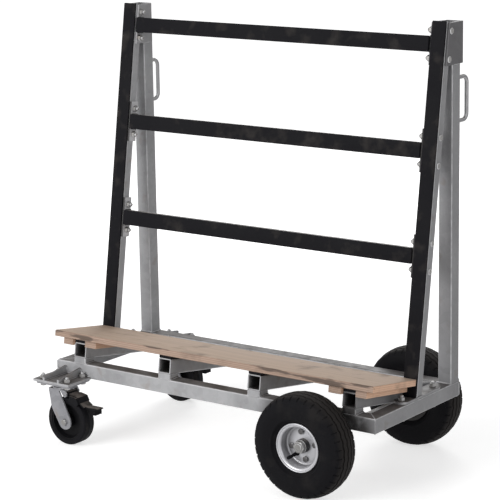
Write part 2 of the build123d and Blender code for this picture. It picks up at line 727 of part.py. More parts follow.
def brake_lever():
    """Hooded lever: a strip from the pin's eye over the tread, with side cheeks and a level tab."""
    pin_x, pin_z = BRAKE_PIVOT
    heel_x, heel_z = BRAKE_HEEL
    start = (pin_x + HOOD_START, pin_z - HOOD_DROP * HOOD_START / HOOD_CORNER)
    corner = (pin_x + HOOD_CORNER, pin_z - HOOD_DROP)
    nose = over_tread(HOOD_MID, HOOD_ANGLE)
    strip = trace(FilletPolyline(BRAKE_PIVOT, corner, nose, BRAKE_HEEL, radius=HOOD_BEND), BRAKE_SHEET)
    strip += Pos(*BRAKE_PIVOT) * Circle(BRAKE_EYE)
    strip -= Pos(*BRAKE_PIVOT) * Circle(BRAKE_PIN / 2 + AXLE_CLEAR)
    lever = extrude(Plane.XZ * strip, BRAKE_WIDTH / 2, both=True)
    tab = Pos(heel_x + BRAKE_TAB / 2, heel_z) * SlotOverall(BRAKE_TAB + BRAKE_SHEET, BRAKE_SHEET)
    lever += extrude(Plane.XZ * tab, BRAKE_TAB_WIDTH / 2, both=True)
    axle_spot = (CASTOR_TRAIL, CASTOR_RADIUS)
    cheek = make_face(Polyline(start, corner, nose, axle_spot, close=True))
    cheek -= Pos(*axle_spot) * Circle(CASTOR_RADIUS - HOOD_LAP)
    lever += extrude(Plane.XZ * (cheek & strip), HOOD_INNER + HOOD_SHEET, both=True)
    side = extrude(Plane.XZ.offset(HOOD_INNER) * cheek, HOOD_SHEET)
    return lever + side + mirror(side, about=Plane.XZ)


def brake_pad():
    """Pad under the outer end of the lever's tab."""
    end = BRAKE_HEEL[0] + BRAKE_TAB - BRAKE_PAD_SETBACK
    under = BRAKE_HEEL[1] - BRAKE_SHEET / 2
    half = BRAKE_PAD_WIDTH / 2
    return level_box((end - BRAKE_PAD_LENGTH, end), (-half, half), (under - BRAKE_PAD, under))


def castor_bolts():
    """Bolts up through the front castor's plate and outrigger."""
    place = Pos(CASTOR_X, -CASTOR_Y, PLATE_UNDER)
    return [place * spot * piece for spot in CASTOR_BOLTS for piece in frame_bolt(2 * PLATE)]


os.makedirs("parts", exist_ok=True)

save("front_rail", front_rail())
save("rear_rail", mirror(front_rail(), about=Plane.XZ))
save("right_end_rail", right_end_rail())
save("left_end_rail", mirror(right_end_rail(), about=Plane.YZ))
for number, place_x in enumerate(ARM_PLACES, start=1):
    save(f"support_arm_{number}", support_arm(place_x))
save("arm_risers", *[arm_riser(x) for x in ARM_PLACES])
save("arm_pads", *[arm_pad(x) for x in ARM_PLACES])
save("deck_board", deck_board())
save("deck_cleats", *[piece for cleat in deck_cleats() for piece in both_sides(cleat, Plane.YZ)])

for side_name, about, drop in (("right", None, RIGHT_HANDLE_DROP), ("left", Plane.YZ, LEFT_HANDLE_DROP)):
    for name, piece in (
        ("upright_post", upright_post()),
        ("raked_post", raked_post()),
        ("handle", handle(drop)),
    ):
        save(f"{side_name}_{name}", mirror(piece, about=about) if about else piece)
for name, level in zip(("top", "middle", "bottom"), SLAT_LEVELS):
    save(f"{name}_slat", slat(level))
save("slat_rubbers", *[slat_rubber(level) for level in SLAT_LEVELS])
save("post_rubbers", *both_sides(post_rubber(), Plane.YZ))
end_plates = [slat_end_plate(level) for level in SLAT_LEVELS[1:]]
save("slat_end_plates", *[piece for plate in end_plates for piece in both_sides(plate, Plane.YZ)])
gussets = [gusset_plate(HALF_L, HALF_D), gusset_plate(HALF_L - TUBE - PLATE, HALF_D - GUSSET_SET_IN)]
save("gusset_plates", *[piece for plate in gussets for piece in both_sides(plate, Plane.YZ)])
save("foot_plates", *both_sides(foot_plate(), Plane.YZ))

save("axle", axle())
save("axle_hangers", *both_sides(axle_hanger(), Plane.XZ))
axle_fixings = [axle_spacer()] + axle_end_fixings()
save("axle_fixings", *[piece for fixing in axle_fixings for piece in both_sides(fixing, Plane.XZ)])
for end_name, about in (("front", None), ("rear", Plane.XZ)):
    for name, pieces in (
        ("tyre", [tyre()]),
        ("outer_rim", [rim_half(1)]),
        ("inner_rim", [rim_half(-1)]),
        ("hub", [hub()]),
        ("rim_bolts", rim_bolts()),
        ("outrigger", [outrigger()]),
    ):
        save(f"{end_name}_{name}", *[mirror(piece, about=about) if about else piece for piece in pieces])

frame_bolts = [piece for bolt in rack_bolts() for piece in both_sides(bolt, Plane.YZ)]
frame_bolts += [piece for bolt in castor_bolts() for piece in both_sides(bolt, Plane.XZ)]
save("frame_bolts", *frame_bolts)
kingpin = Pos(CASTOR_X, -CASTOR_Y, 0) * castor_kingpin()
save("castor_kingpins", *both_sides(kingpin, Plane.XZ))
for end_name, sign in (("front", -1), ("rear", 1)):
    for name, pieces in (
        ("plate", [castor_plate()]),
        ("ball_ring", [castor_ball_ring()]),
        ("fork", [castor_fork()]),
        ("pins", castor_pins()),
        ("core", [castor_core()]),
        ("tread", [castor_tread()]),
        ("brake_lever", [brake_lever()]),
        ("brake_pad", [brake_pad()]),
    ):
        place = Pos(CASTOR_X, sign * CASTOR_Y, 0)
        save(f"{end_name}_castor_{name}", *[place * piece for piece in pieces])
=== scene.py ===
import bmesh
import bpy
import json
import math
import random
from mathutils import Matrix, Vector

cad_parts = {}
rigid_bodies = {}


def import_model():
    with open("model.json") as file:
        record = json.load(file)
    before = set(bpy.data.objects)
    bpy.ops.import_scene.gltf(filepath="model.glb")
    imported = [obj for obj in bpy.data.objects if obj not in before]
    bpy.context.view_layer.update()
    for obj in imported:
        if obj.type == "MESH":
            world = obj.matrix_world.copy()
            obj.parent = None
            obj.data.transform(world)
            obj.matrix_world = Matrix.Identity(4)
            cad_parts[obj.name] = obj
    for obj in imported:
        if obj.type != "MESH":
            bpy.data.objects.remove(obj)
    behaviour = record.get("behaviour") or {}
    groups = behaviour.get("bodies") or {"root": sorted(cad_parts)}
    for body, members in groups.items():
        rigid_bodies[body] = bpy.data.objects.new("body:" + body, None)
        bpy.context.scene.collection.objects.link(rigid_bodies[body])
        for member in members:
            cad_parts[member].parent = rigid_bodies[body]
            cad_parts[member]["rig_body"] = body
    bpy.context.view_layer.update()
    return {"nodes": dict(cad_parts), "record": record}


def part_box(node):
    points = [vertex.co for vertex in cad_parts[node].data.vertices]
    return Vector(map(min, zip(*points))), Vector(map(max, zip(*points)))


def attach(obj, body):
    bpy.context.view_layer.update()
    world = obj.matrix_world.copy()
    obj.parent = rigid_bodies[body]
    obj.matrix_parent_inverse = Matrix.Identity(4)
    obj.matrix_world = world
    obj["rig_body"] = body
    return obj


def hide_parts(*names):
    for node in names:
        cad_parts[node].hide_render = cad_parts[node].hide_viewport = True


# Looks of the glass cart. Metres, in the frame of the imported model: the castors are at minus X,
# the load side is at minus Y and the floor is at Z zero.

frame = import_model()
NODES = frame["nodes"]
SLOTS = {part["node"]: part["material_slot"] for part in frame["record"]["subparts"]}
MOUNTS = {mount["name"]: mount for mount in frame["record"]["mounts"]}

MM = 0.001
SIGNS = (-1, 1)
ENDS = ("front", "rear")
ARMS = 4

# Camera of the photograph, found by fitting the cart's straight edges
PHOTO_PLACE = Vector((2.9602, -4.0573, 1.6211))
PHOTO_AZIMUTH = math.radians(36.15)
PHOTO_PITCH = math.radians(12.45)
PHOTO_ROLL = math.radians(-0.96)
PHOTO_LENS = 148.63
PHOTO_SENSOR = 36.0

# Soft lamps as (name, place, size, power), the point they look at, and the world's even fill
LAMPS = (
    ("key", (-1.3, -4.3, 2.2), 3.2, 168.0),
    ("side", (4.2, -1.2, 1.6), 2.2, 38.0),
    ("back", (-1.5, 3.6, 2.4), 2.4, 70.0),
)
LIT_POINT = (0, 0, 0.5)
FILL = 0.28

# Floor disc, and its own white at a near and a far distance from the cart
FLOOR_RADIUS = 60.0
FLOOR_SIDES = 96
GLOW_REACH = (0.6, 3.0)
GLOW = (0.62, 0.9)

# The rack leans back by this angle and the deck is square to it
RAKE_UP = Vector(MOUNTS["deck_face"]["axis"])
RAKE = math.atan2(RAKE_UP.y, RAKE_UP.z)
RACK_TURN = Matrix.Rotation(-RAKE, 4, "X")

# Noises of the finishes, as (features per metre, detail), and how far two of them are warped
SPANGLE = 70.0
ZINC_CLOUD = (9.0, 6.0)
ZINC_GRAIN = (420.0, 3.0)
RUBBER_CLOUD = (7.0, 6.0)
RUBBER_GRAIN = (900.0, 2.0)
PAINT_CLOUD = (11.0, 5.0)
PAINT_PEEL = (500.0, 2.0)
WOOD_CLOUD = (6.0, 5.0)
WOOD_FIGURE = (1.0, 8.0)
WOOD_PORES = (1.0, 4.0)
CLOUD_WARP = 0.4
FIGURE_WARP = 1.2

# Patchy marks, as (features per metre, detail, noise where a mark starts, noise where it is full)
STAINS = (24.0, 5.0, 0.62, 0.72)
EDGE_WEAR_AND_HIGHLIGHT = (60.0, 6.0, 0.35, 0.6)
ZINC_DIRT_AND_SHADE = (16.0, 8.0, 0.3, 0.6)
SPATTER_AND_SHADE = (45.0, 8.0, 0.3, 0.55)
SCUFFS = (1.0, 6.0, 0.58, 0.75)
RUBBER_DUST = (20.0, 9.0, 0.54, 0.74)
PAINT_CHIPS = (85.0, 7.0, 0.68, 0.72)
PAINT_DUST = (40.0, 8.0, 0.35, 0.6)
WOOD_GRIME = (14.0, 9.0, 0.58, 0.74)
KNOCKS = (1.0, 7.0, 0.55, 0.62)

# Strength of marks, as (least, most), and the share of a strength that is there at least
WEAR_AND_HIGHLIGHT_STRENGTH = (0.4, 0.85)
SPATTER_AND_SHADE_STRENGTH = (0.6, 1.0)
WOOD_GRIME_STRENGTH = (0.0, 0.55)
KNOCK_STRENGTH = (0.0, 0.8)
LEAST_DIRT_AND_SHADE = 0.6
LEAST_DUST = 0.3

# Features per metre along X, Y and Z of the marks and grain that run lengthwise
SCUFF_STRETCH = (12.0, 160.0, 160.0)
WOOD_STRETCH = (2.2, 46.0, 46.0)
PORE_STRETCH = (9.0, 420.0, 420.0)
KNOCK_STRETCH = (9.0, 60.0, 60.0)

# Ranges of a noise that are spread out to full contrast
WIDE_TONES = (0.2, 0.8)
FIGURE_TONES = (0.25, 0.75)
MIDDLE_TONES = (0.3, 0.7)

# Parts of a normal along a direction between which a face starts to look that way
FACING = (0.6, 0.9)
SQUARE = (0.8, 0.96)
FRONT = (-0.9, -0.6)

# Reach, in metres from the middle plane, over which a face counts as an outer side
OUTER_SIDE = (0.08, 0.15)

# Stretch of the cart, along X, over which its zinc grows darker with painted shade
SHADED_STRETCH = (0.12, 0.42)

# How far a surface looks for neighbours that cast painted shade and keep grime in a corner, and for the walls
# of its own bore that cast painted shade
SHADE_REACH = 30.0 * MM
BORE_REACH = 40.0 * MM
OPENNESS_SAMPLES = 8

# Painted shade, with some grime in corners, as (openness where it is full, openness where it ends, strength)
CORNER_SHADE_AND_GRIME = (0.03, 0.26, 0.85)
BORE_SHADE = (0.3, 0.55, 0.94)
GATHERED_SHADE = (0.35, 0.8, 0.65)
RECESS_SHADE = (0.3, 0.8)

# Radii from the axle between which road dust and a painted light build up on a tyre, and thrown grime with a
# painted shadow of the tyre fades out on the rails
ROAD_DUST_AND_LIGHT = (118.0 * MM, 126.0 * MM)
SPLASH_AND_SHADOW = (140.0 * MM, 188.0 * MM)

# Bump of each finish, as (height, strength)
ZINC_BUMP = (0.25 * MM, 0.5)
RUBBER_BUMP = (0.2 * MM, 0.6)
PAINT_BUMP = (0.12 * MM, 0.5)
WOOD_BUMP = (0.35 * MM, 0.6)

# Plywood: thickness of a ply, and the depth of the deck's front edge that is knocked about
PLY = 2.3 * MM
KNOCK_REACH = 14.0 * MM

# Corners closer than this are one corner, and edges sharper than this stay sharp
JOIN = 0.005 * MM
LOOSE_JOIN = 0.01 * MM
SHARP = math.radians(35)

# Eased and broken edges
SHEET_EASE = 0.7 * MM
RUBBER_EASE = 1.4 * MM
BOARD_EASE = 1.8 * MM
EASE_STEPS = 3
BREAK_STEPS = 2
BREAK_ANGLE = math.radians(40)
FLAT_ANGLE = math.radians(0.5)

# Tubes and plates of the base, and slack for points on one level
TUBE_ROUND = 4.5 * MM
PLATE = 6.0 * MM
WEB_SPAN = 48.0 * MM
WEB_RISE = 20.0 * MM
WEB_SHORT = 6.0 * MM
LEVEL_SLACK = 0.1 * MM

# Weld beads: radii, how deep they sit in a joint, and how far they stop before its end
WELD = 3.0 * MM
SEAM = 1.6 * MM
ROD_SEAM = 1.2 * SEAM
TUBE_SEAM = 1.3 * SEAM
PLATE_SEAM = 1.4 * SEAM
MITRE_SINK = 0.2 * MM
FOOT_SINK = 0.8 * MM
ARM_SINK = 1.0 * MM
RISER_SINK = 1.2 * MM
BEAD_STOP = 2.0 * MM
HANGER_STOP = 3.0 * MM
BEAD_PITCH = 3.5 * MM
BEAD_SIDES = 6
BEAD_RIPPLE = 0.14
BEAD_CHANCE = 0.08
BEAD_END = 0.6
HANDLE_BEADS = 12
WELD_SEED = 11

# Tyre, in a half section from the middle of the tread round to the bead
TREAD_HALF = 33.0 * MM
TREAD_CROWN = 7.0 * MM
GROOVE_PITCH = 13.5 * MM
GROOVE_HALF = 2.0 * MM
GROOVE_DEPTH = 4.5 * MM
GROOVE_DRAFT = 0.4 * MM
BULGE_RADIUS = 93.64 * MM
BEAD_OUT = 27.3 * MM
FLANGE_RADIUS = 60.2 * MM
BEAD_RADIUS = 51.2 * MM
TYRE_WALL = 7.0 * MM
MOULD_LINE = 0.35 * MM
RIDGE_PLACE = 0.78
RIDGE = 1.8 * MM
ZIGZAG = 1.5 * MM
ZIGZAG_COUNT = 36
NOTCH_DEPTH = 2.2 * MM
NOTCH_SHARES = (0.14, 0.30)
NOTCH_WALL = 0.015

# Shoulder of the tread as (share of its half width, notch), and the side wall below it as
# (share of the way to the flange, notch, height)
TYRE_SHOULDER = ((0.78, 0), (0.8, 1), (0.96, 1))
TYRE_SIDE = (
    (0.02, 1, 0),
    (0.09, 1, 0),
    (0.13, 0, 0),
    *((share, 0, -MOULD_LINE) for share in (0.15, 0.24, 0.34, 0.44, 0.54, 0.63)),
    (0.65, 0, 0),
    (RIDGE_PLACE - 0.05, 0, 0),
    (RIDGE_PLACE - 0.025, 0, 0.75 * RIDGE),
    (RIDGE_PLACE, 0, RIDGE),
    (RIDGE_PLACE + 0.025, 0, 0.75 * RIDGE),
    (RIDGE_PLACE + 0.05, 0, 0),
    (0.92, 0, 0),
    (1.0, 0, 0),
)

# Castor tread and the ribbed pad of the brake's pedal
CASTOR_ROUND = 4.0 * MM
CASTOR_TREAD = 13.0 * MM
CASTOR_STEPS = 96
ROUND_STEPS = 4
PAD_RIB = 1.2 * MM
PAD_RIBS = 4
RIB_SHARE = 0.72

# Valve stem: its turn round the wheel, and (radius, outwards, girth) along its line in millimetres
VALVE_SIDES = 16
VALVE_TURN = math.radians(-130)
VALVE_LINE = (
    (29.5, 2.0, 6.5),
    (29.5, 4.0, 6.5),
    (29.7, 5.5, 4.8),
    (30.6, 12.0, 4.3),
    (32.0, 20.0, 3.8),
    (33.2, 26.5, 3.5),
    (33.3, 26.7, 4.2),
    (34.9, 35.0, 4.2),
    (35.2, 36.5, 3.4),
)

# Fasteners: a plain solid's corners beyond the rim share are its rim, and a bore is below the bored share
SIDES = 24
HEX_TOP = 0.95
HEX_CORNERS = 12
RIM_SHARE = 0.98
BORED_SHARE = 0.95
CHAMFER = math.tan(math.radians(30))
THREAD_PITCH = 1.5 * MM
THREAD_DEPTH = 0.7 * MM
WASHER_FACE = 0.5 * MM
BORE_CLEAR = 0.05 * MM
BOLT_END = 11.0 * MM
ROD_EASE = 1.2 * MM
LOW_DOME = ((0.3, 1.0), (0.62, 0.9), (0.85, 0.68), (0.97, 0.36), (1.0, 0.12), (1.0, 0.0))


# Colours and places

def srgb(red, green, blue):
    """Shader colour from ordinary 0 to 255 values."""
    def linear(value):
        share = value / 255
        return share / 12.92 if share <= 0.04045 else ((share + 0.055) / 1.055) ** 2.4
    return (linear(red), linear(green), linear(blue), 1.0)


def corners_of(node):
    """Corner points of a node's mesh."""
    return [corner.co for corner in NODES[node].data.vertices]


def box_of(points, turn=Matrix.Identity(4)):
    """Lowest and highest corner of points, measured in a turned frame."""
    back = turn.inverted()
    local = [back @ point for point in points]
    low = Vector([min(point[axis] for point in local) for axis in range(3)])
    high = Vector([max(point[axis] for point in local) for axis in range(3)])
    return low, high


def node_box(node):
    """Lowest and highest corner of a node."""
    return [Vector(corner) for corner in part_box(node)]


DECK_FRONT = box_of(corners_of("deck_board"), RACK_TURN)[0].y
WHEEL_AXLE = sum(node_box("front_tyre"), Vector()) / 2

RUST = srgb(126, 104, 84)
# Grey of the painted shade at the wheels' end
END_SHADE_GREY = srgb(88, 87, 89)
# Brown of dirt and of painted shade on top faces
DIRT_AND_SHADE = srgb(64, 58, 54)
# Near black of grime, and of painted shade in corners, bores and recesses
GRIME_AND_SHADE = srgb(34, 31, 30)
# Light zinc of worn edges and of a painted highlight on rounded corners
BRIGHT_WEAR_AND_HIGHLIGHT = srgb(218, 218, 220)
SITE_DUST = srgb(70, 66, 63)
PALE_DUST = srgb(118, 111, 106)
BARE_STEEL = srgb(112, 108, 104)
FACE_WOOD = (srgb(161, 135, 115), srgb(208, 187, 168))
SIDE_WOOD = (srgb(139, 114, 98), srgb(187, 163, 147))
SAWN_WOOD = (srgb(206, 162, 134), srgb(248, 210, 182))
GRIMY_WOOD = srgb(92, 78, 68)
KNOCKED_WOOD = srgb(70, 60, 54)
FLOOR_GREY = srgb(214, 214, 214)
WHITE = (1, 1, 1, 1)


class Web:
    """A tree of shader nodes, with short ways to add and join them."""

    def __init__(self, tree):
        self.tree = tree

    def add(self, kind, inputs, **settings):
        """A new node with its settings made and its inputs filled."""
        made = self.tree.nodes.new(kind)
        for key, value in settings.items():
            setattr(made, key, value)
        for key, value in inputs.items():
            self.put(made.inputs[key], value)
        return made

    def put(self, socket, value):
        """Links a socket to another one, or sets it to a plain value."""
        if isinstance(value, bpy.types.NodeSocket):
            self.tree.links.new(value, socket)
        else:
            socket.default_value = value

    def math(self, operation, first, second=0.0):
        """Result of one sum; an operation on a single value leaves the second at nought."""
        return self.add("ShaderNodeMath", {0: first, 1: second}, operation=operation).outputs[0]

    def times(self, first, second):
        """Product of two values."""
        return self.math("MULTIPLY", first, second)

    def most(self, first, *others):
        """Largest of several values."""
        for other in others:
            first = self.math("MAXIMUM", first, other)
        return first

    def spread(self, value, low, high, to_low=0.0, to_high=1.0):
        """Value mapped from one range to another, and held inside it."""
        inputs = {0: value, 1: low, 2: high, 3: to_low, 4: to_high}
        return self.add("ShaderNodeMapRange", inputs).outputs[0]

    def seen(self):
        """One to the eye and in reflections, and nought for the light that falls on things."""
        rays = self.add("ShaderNodeLightPath", {}).outputs
        return self.most(*(rays[f"Is {kind} Ray"] for kind in ("Camera", "Glossy", "Transmission")))


class Look(Web):
    """One node material, painted in the coordinates of the piece that wears it."""

    def __init__(self, name):
        self.material = bpy.data.materials.new(name)
        self.material.use_nodes = True
        super().__init__(self.material.node_tree)
        self.shader = self.tree.nodes["Principled BSDF"]
        texture = self.add("ShaderNodeTexCoord", {})
        self.place = texture.outputs["Object"]
        self.normal = texture.outputs["Normal"]

    def finish(self, **sockets):
        """Sets or links the shader's sockets; a name's underscores stand for spaces."""
        for key, value in sockets.items():
            self.put(self.shader.inputs[key.replace("_", " ")], value)
        return self.material

    def mapped(self, stretch, turn=(0, 0, 0)):
        """The piece's own coordinates, turned and then stretched."""
        turned = self.add("ShaderNodeMapping", {"Vector": self.place, "Rotation": turn})
        inputs = {"Vector": turned.outputs["Vector"], "Scale": stretch}
        return self.add("ShaderNodeMapping", inputs).outputs["Vector"]

    def axis(self, vector, name):
        """One coordinate of a vector."""
        return self.add("ShaderNodeSeparateXYZ", {"Vector": vector}).outputs[name]

    def noise(self, scale, detail, place=None, distortion=0.0):
        """Smooth noise from nought to one."""
        place = place or self.place
        inputs = {"Vector": place, "Scale": scale, "Detail": detail, "Distortion": distortion}
        return self.add("ShaderNodeTexNoise", inputs).outputs["Fac"]

    def cells(self, scale):
        """A random grey for each crystal."""
        made = self.add("ShaderNodeTexVoronoi", {"Vector": self.place, "Scale": scale})
        return self.add("ShaderNodeSeparateColor", {"Color": made.outputs["Color"]}).outputs["Red"]

    def marks(self, pattern, least, most, place=None):
        """Strength of a pattern of patchy marks, from a least to a most."""
        scale, detail, start, full = pattern
        return self.spread(self.noise(scale, detail, place), start, full, least, most)

    def blend(self, *shares):
        """Sum of (weight, value) pairs."""
        total = None
        for weight, value in shares:
            part = self.times(value, weight)
            total = part if total is None else self.math("ADD", total, part)
        return total

    def mix(self, share, first, second):
        """First colour, with a share of the second."""
        made = self.add("ShaderNodeMix", {0: share, 6: first, 7: second}, data_type="RGBA")
        return made.outputs[2]

    def upwards(self):
        """One on faces that look up and nought on the rest."""
        return self.spread(self.axis(self.normal, "Z"), *FACING)

    def edges(self):
        """One on rounded and broken edges, and nought on faces that are square to an axis."""
        parts = [self.math("ABSOLUTE", self.axis(self.normal, name)) for name in "XYZ"]
        return self.spread(self.most(*parts), *SQUARE, 1.0, 0.0)

    def off_axle(self):
        """Distance from the line of the wheels' axle."""
        inputs = {0: self.mapped((1, 0, 1)), 1: (WHEEL_AXLE.x, 0, WHEEL_AXLE.z)}
        return self.add("ShaderNodeVectorMath", inputs, operation="DISTANCE").outputs["Value"]

    def openness(self, reach, alone=False):
        """Share of open air that a place sees within a reach; alone leaves the other pieces out."""
        inputs = {"Distance": reach}
        settings = {"samples": OPENNESS_SAMPLES, "only_local": alone}
        return self.add("ShaderNodeAmbientOcclusion", inputs, **settings).outputs["AO"]

    def bump(self, height, distance, strength):
        """Normal of a surface that rises and falls with a value."""
        inputs = {"Height": height, "Distance": distance, "Strength": strength}
        return self.add("ShaderNodeBump", inputs).outputs["Normal"]


# Materials, one function for each finish

def zinc(name, dark, light, metallic, smooth, rough, stain, dirt_and_shade, end_shading=0.0, thrown_grime_and_shadow=0.0, black_front=0.0):
    """Galvanised or plated steel: crystals, clouds, stains, worn edges with a painted highlight, dirt and
    painted shade on top, and painted shade with grime in corners, bores and under things.

    It may also grow darker with painted shade at the wheels' end, carry grime thrown up by a wheel together
    with a painted shadow of the tyre, or have a black front edge.
    """
    look = Look(name)
    crystal = look.cells(SPANGLE)
    cloud = look.noise(*ZINC_CLOUD, distortion=CLOUD_WARP)
    grain = look.noise(*ZINC_GRAIN)
    tone = look.blend((0.28, crystal), (0.52, look.spread(cloud, *MIDDLE_TONES)), (0.2, grain))
    colour = look.mix(look.marks(STAINS, 0.0, stain), look.mix(tone, srgb(*dark), srgb(*light)), RUST)
    # Painted shade: the zinc grows darker towards the wheels' end at plus X
    end_shaded = look.spread(look.axis(look.place, "X"), *SHADED_STRETCH, 0.0, end_shading)
    colour = look.mix(end_shaded, colour, END_SHADE_GREY)
    # Worn edges, made lighter as well with a painted highlight along rounded corners
    wear_and_highlight = look.times(look.edges(), look.marks(EDGE_WEAR_AND_HIGHLIGHT, *WEAR_AND_HIGHLIGHT_STRENGTH))
    colour = look.mix(wear_and_highlight, colour, BRIGHT_WEAR_AND_HIGHLIGHT)
    # Dirt, and painted shade from the pieces above, darken the faces that look up
    upwards = look.upwards()
    top_dirt_and_shade = look.times(upwards, look.marks(ZINC_DIRT_AND_SHADE, LEAST_DIRT_AND_SHADE * dirt_and_shade, dirt_and_shade))
    # Painted shade in corners, in the piece's own bores and on top faces under other pieces, with some grime
    # in corners
    corner = look.openness(SHADE_REACH)
    bore = look.openness(BORE_REACH, alone=True)
    shade_and_grime = look.most(
        look.spread(corner, *CORNER_SHADE_AND_GRIME, 0.0),
        look.spread(bore, *BORE_SHADE, 0.0),
        look.times(upwards, look.spread(corner, *GATHERED_SHADE, 0.0)),
    )
    facing = look.axis(look.normal, "Y")
    if black_front:
        shade_and_grime = look.most(shade_and_grime, look.spread(facing, *FRONT, black_front, 0.0))
    # Grime thrown up by a wheel, together with a painted shadow of the tyre, on the rails' outer faces near
    # the axle
    if thrown_grime_and_shadow:
        across = look.axis(look.place, "Y")
        outwards = look.spread(look.times(facing, across), *OUTER_SIDE)
        splash_and_shadow = look.spread(look.off_axle(), *SPLASH_AND_SHADOW, thrown_grime_and_shadow, 0.0)
        splash_and_shadow = look.times(splash_and_shadow, look.marks(SPATTER_AND_SHADE, *SPATTER_AND_SHADE_STRENGTH))
        shade_and_grime = look.most(shade_and_grime, look.times(splash_and_shadow, outwards))
    return look.finish(
        Base_Color=look.mix(shade_and_grime, look.mix(top_dirt_and_shade, colour, DIRT_AND_SHADE), GRIME_AND_SHADE),
        Metallic=metallic,
        Roughness=look.spread(look.blend((0.5, crystal), (0.5, grain)), *WIDE_TONES, smooth, rough),
        Specular_IOR_Level=0.35,
        Normal=look.bump(look.blend((0.5, grain), (0.5, cloud)), *ZINC_BUMP),
    )


def rubber(name, dark, light, smooth, rough, dusty, road_dust_and_light=0.0):
    """Black rubber: fine moulded grain, scuffs along X, a little site dust, and road dust with a painted
    light on a tread.
    """
    look = Look(name)
    grain = look.noise(*RUBBER_GRAIN)
    cloud = look.noise(*RUBBER_CLOUD)
    scuff = look.marks(SCUFFS, 0.0, 1.0, look.mapped(SCUFF_STRETCH))
    dust = look.marks(RUBBER_DUST, 0.0, dusty)
    # Road dust and a painted light make the tread lighter than the side walls
    if road_dust_and_light:
        dust = look.most(dust, look.spread(look.off_axle(), *ROAD_DUST_AND_LIGHT, 0.0, road_dust_and_light))
    tone = look.blend((0.45, cloud), (0.25, grain), (0.3, scuff))
    return look.finish(
        Base_Color=look.mix(dust, look.mix(tone, srgb(*dark), srgb(*light)), SITE_DUST),
        Roughness=look.spread(look.blend((0.6, cloud), (0.4, grain)), *MIDDLE_TONES, smooth, rough),
        Specular_IOR_Level=0.1,
        Normal=look.bump(grain, *RUBBER_BUMP),
    )


def paint(name, dark, light, metallic, smooth, rough, chips, dusty=0.0, recess_shade=0.0, gloss=0.5):
    """Sprayed paint: orange-peel bump, faint clouds, chips down to steel, dust on top, and painted shade in a
    recess.
    """
    look = Look(name)
    cloud = look.noise(*PAINT_CLOUD)
    peel = look.noise(*PAINT_PEEL)
    colour = look.mix(cloud, srgb(*dark), srgb(*light))
    colour = look.mix(look.marks(PAINT_CHIPS, 0.0, chips), colour, BARE_STEEL)
    # Painted shade darkens the piece's own recess
    if recess_shade:
        inside = look.openness(BORE_REACH, alone=True)
        colour = look.mix(look.spread(inside, *RECESS_SHADE, recess_shade, 0.0), colour, GRIME_AND_SHADE)
    dust = look.marks(PAINT_DUST, LEAST_DUST * dusty, dusty)
    return look.finish(
        Base_Color=look.mix(look.times(look.upwards(), dust), colour, PALE_DUST),
        Metallic=metallic,
        Roughness=look.spread(cloud, *MIDDLE_TONES, smooth, rough),
        Specular_IOR_Level=gloss,
        Normal=look.bump(peel, *PAINT_BUMP),
    )


def plywood(name):
    """Site plywood: long grain and pores on the faces, plies on the edges, grime, and knocks at the front."""
    look = Look(name)
    turn = (RAKE, 0, 0)
    board = look.mapped((1, 1, 1), turn)
    figure = look.noise(*WOOD_FIGURE, look.mapped(WOOD_STRETCH, turn), FIGURE_WARP)
    pores = look.noise(*WOOD_PORES, look.mapped(PORE_STRETCH, turn))
    cloud = look.noise(*WOOD_CLOUD)
    face_tone = look.blend((0.5, look.spread(figure, *FIGURE_TONES)), (0.25, pores), (0.25, cloud))
    layer = look.math("PINGPONG", look.math("DIVIDE", look.axis(board, "Z"), PLY), 1.0)
    edge_tone = look.blend((0.35, look.spread(layer, *MIDDLE_TONES)), (0.35, pores), (0.3, cloud))
    at_end = look.spread(look.math("ABSOLUTE", look.axis(look.normal, "X")), *FACING)
    edge = look.mix(at_end, look.mix(edge_tone, *SIDE_WOOD), look.mix(edge_tone, *SAWN_WOOD))
    along = {0: look.normal, 1: RAKE_UP}
    facing = look.add("ShaderNodeVectorMath", along, operation="DOT_PRODUCT").outputs["Value"]
    on_face = look.spread(look.math("ABSOLUTE", facing), *FACING)
    wood = look.mix(on_face, edge, look.mix(face_tone, *FACE_WOOD))
    wood = look.mix(look.marks(WOOD_GRIME, *WOOD_GRIME_STRENGTH), wood, GRIMY_WOOD)
    knocks = look.marks(KNOCKS, *KNOCK_STRENGTH, look.mapped(KNOCK_STRETCH, turn))
    at_front = look.spread(look.axis(board, "Y"), DECK_FRONT, DECK_FRONT + KNOCK_REACH, 1.0, 0.0)
    return look.finish(
        Base_Color=look.mix(look.times(knocks, at_front), wood, KNOCKED_WOOD),
        Roughness=look.spread(face_tone, *WIDE_TONES, 0.62, 0.85),
        Specular_IOR_Level=0.3,
        Normal=look.bump(look.blend((0.6, pores), (0.4, figure)), *WOOD_BUMP),
    )


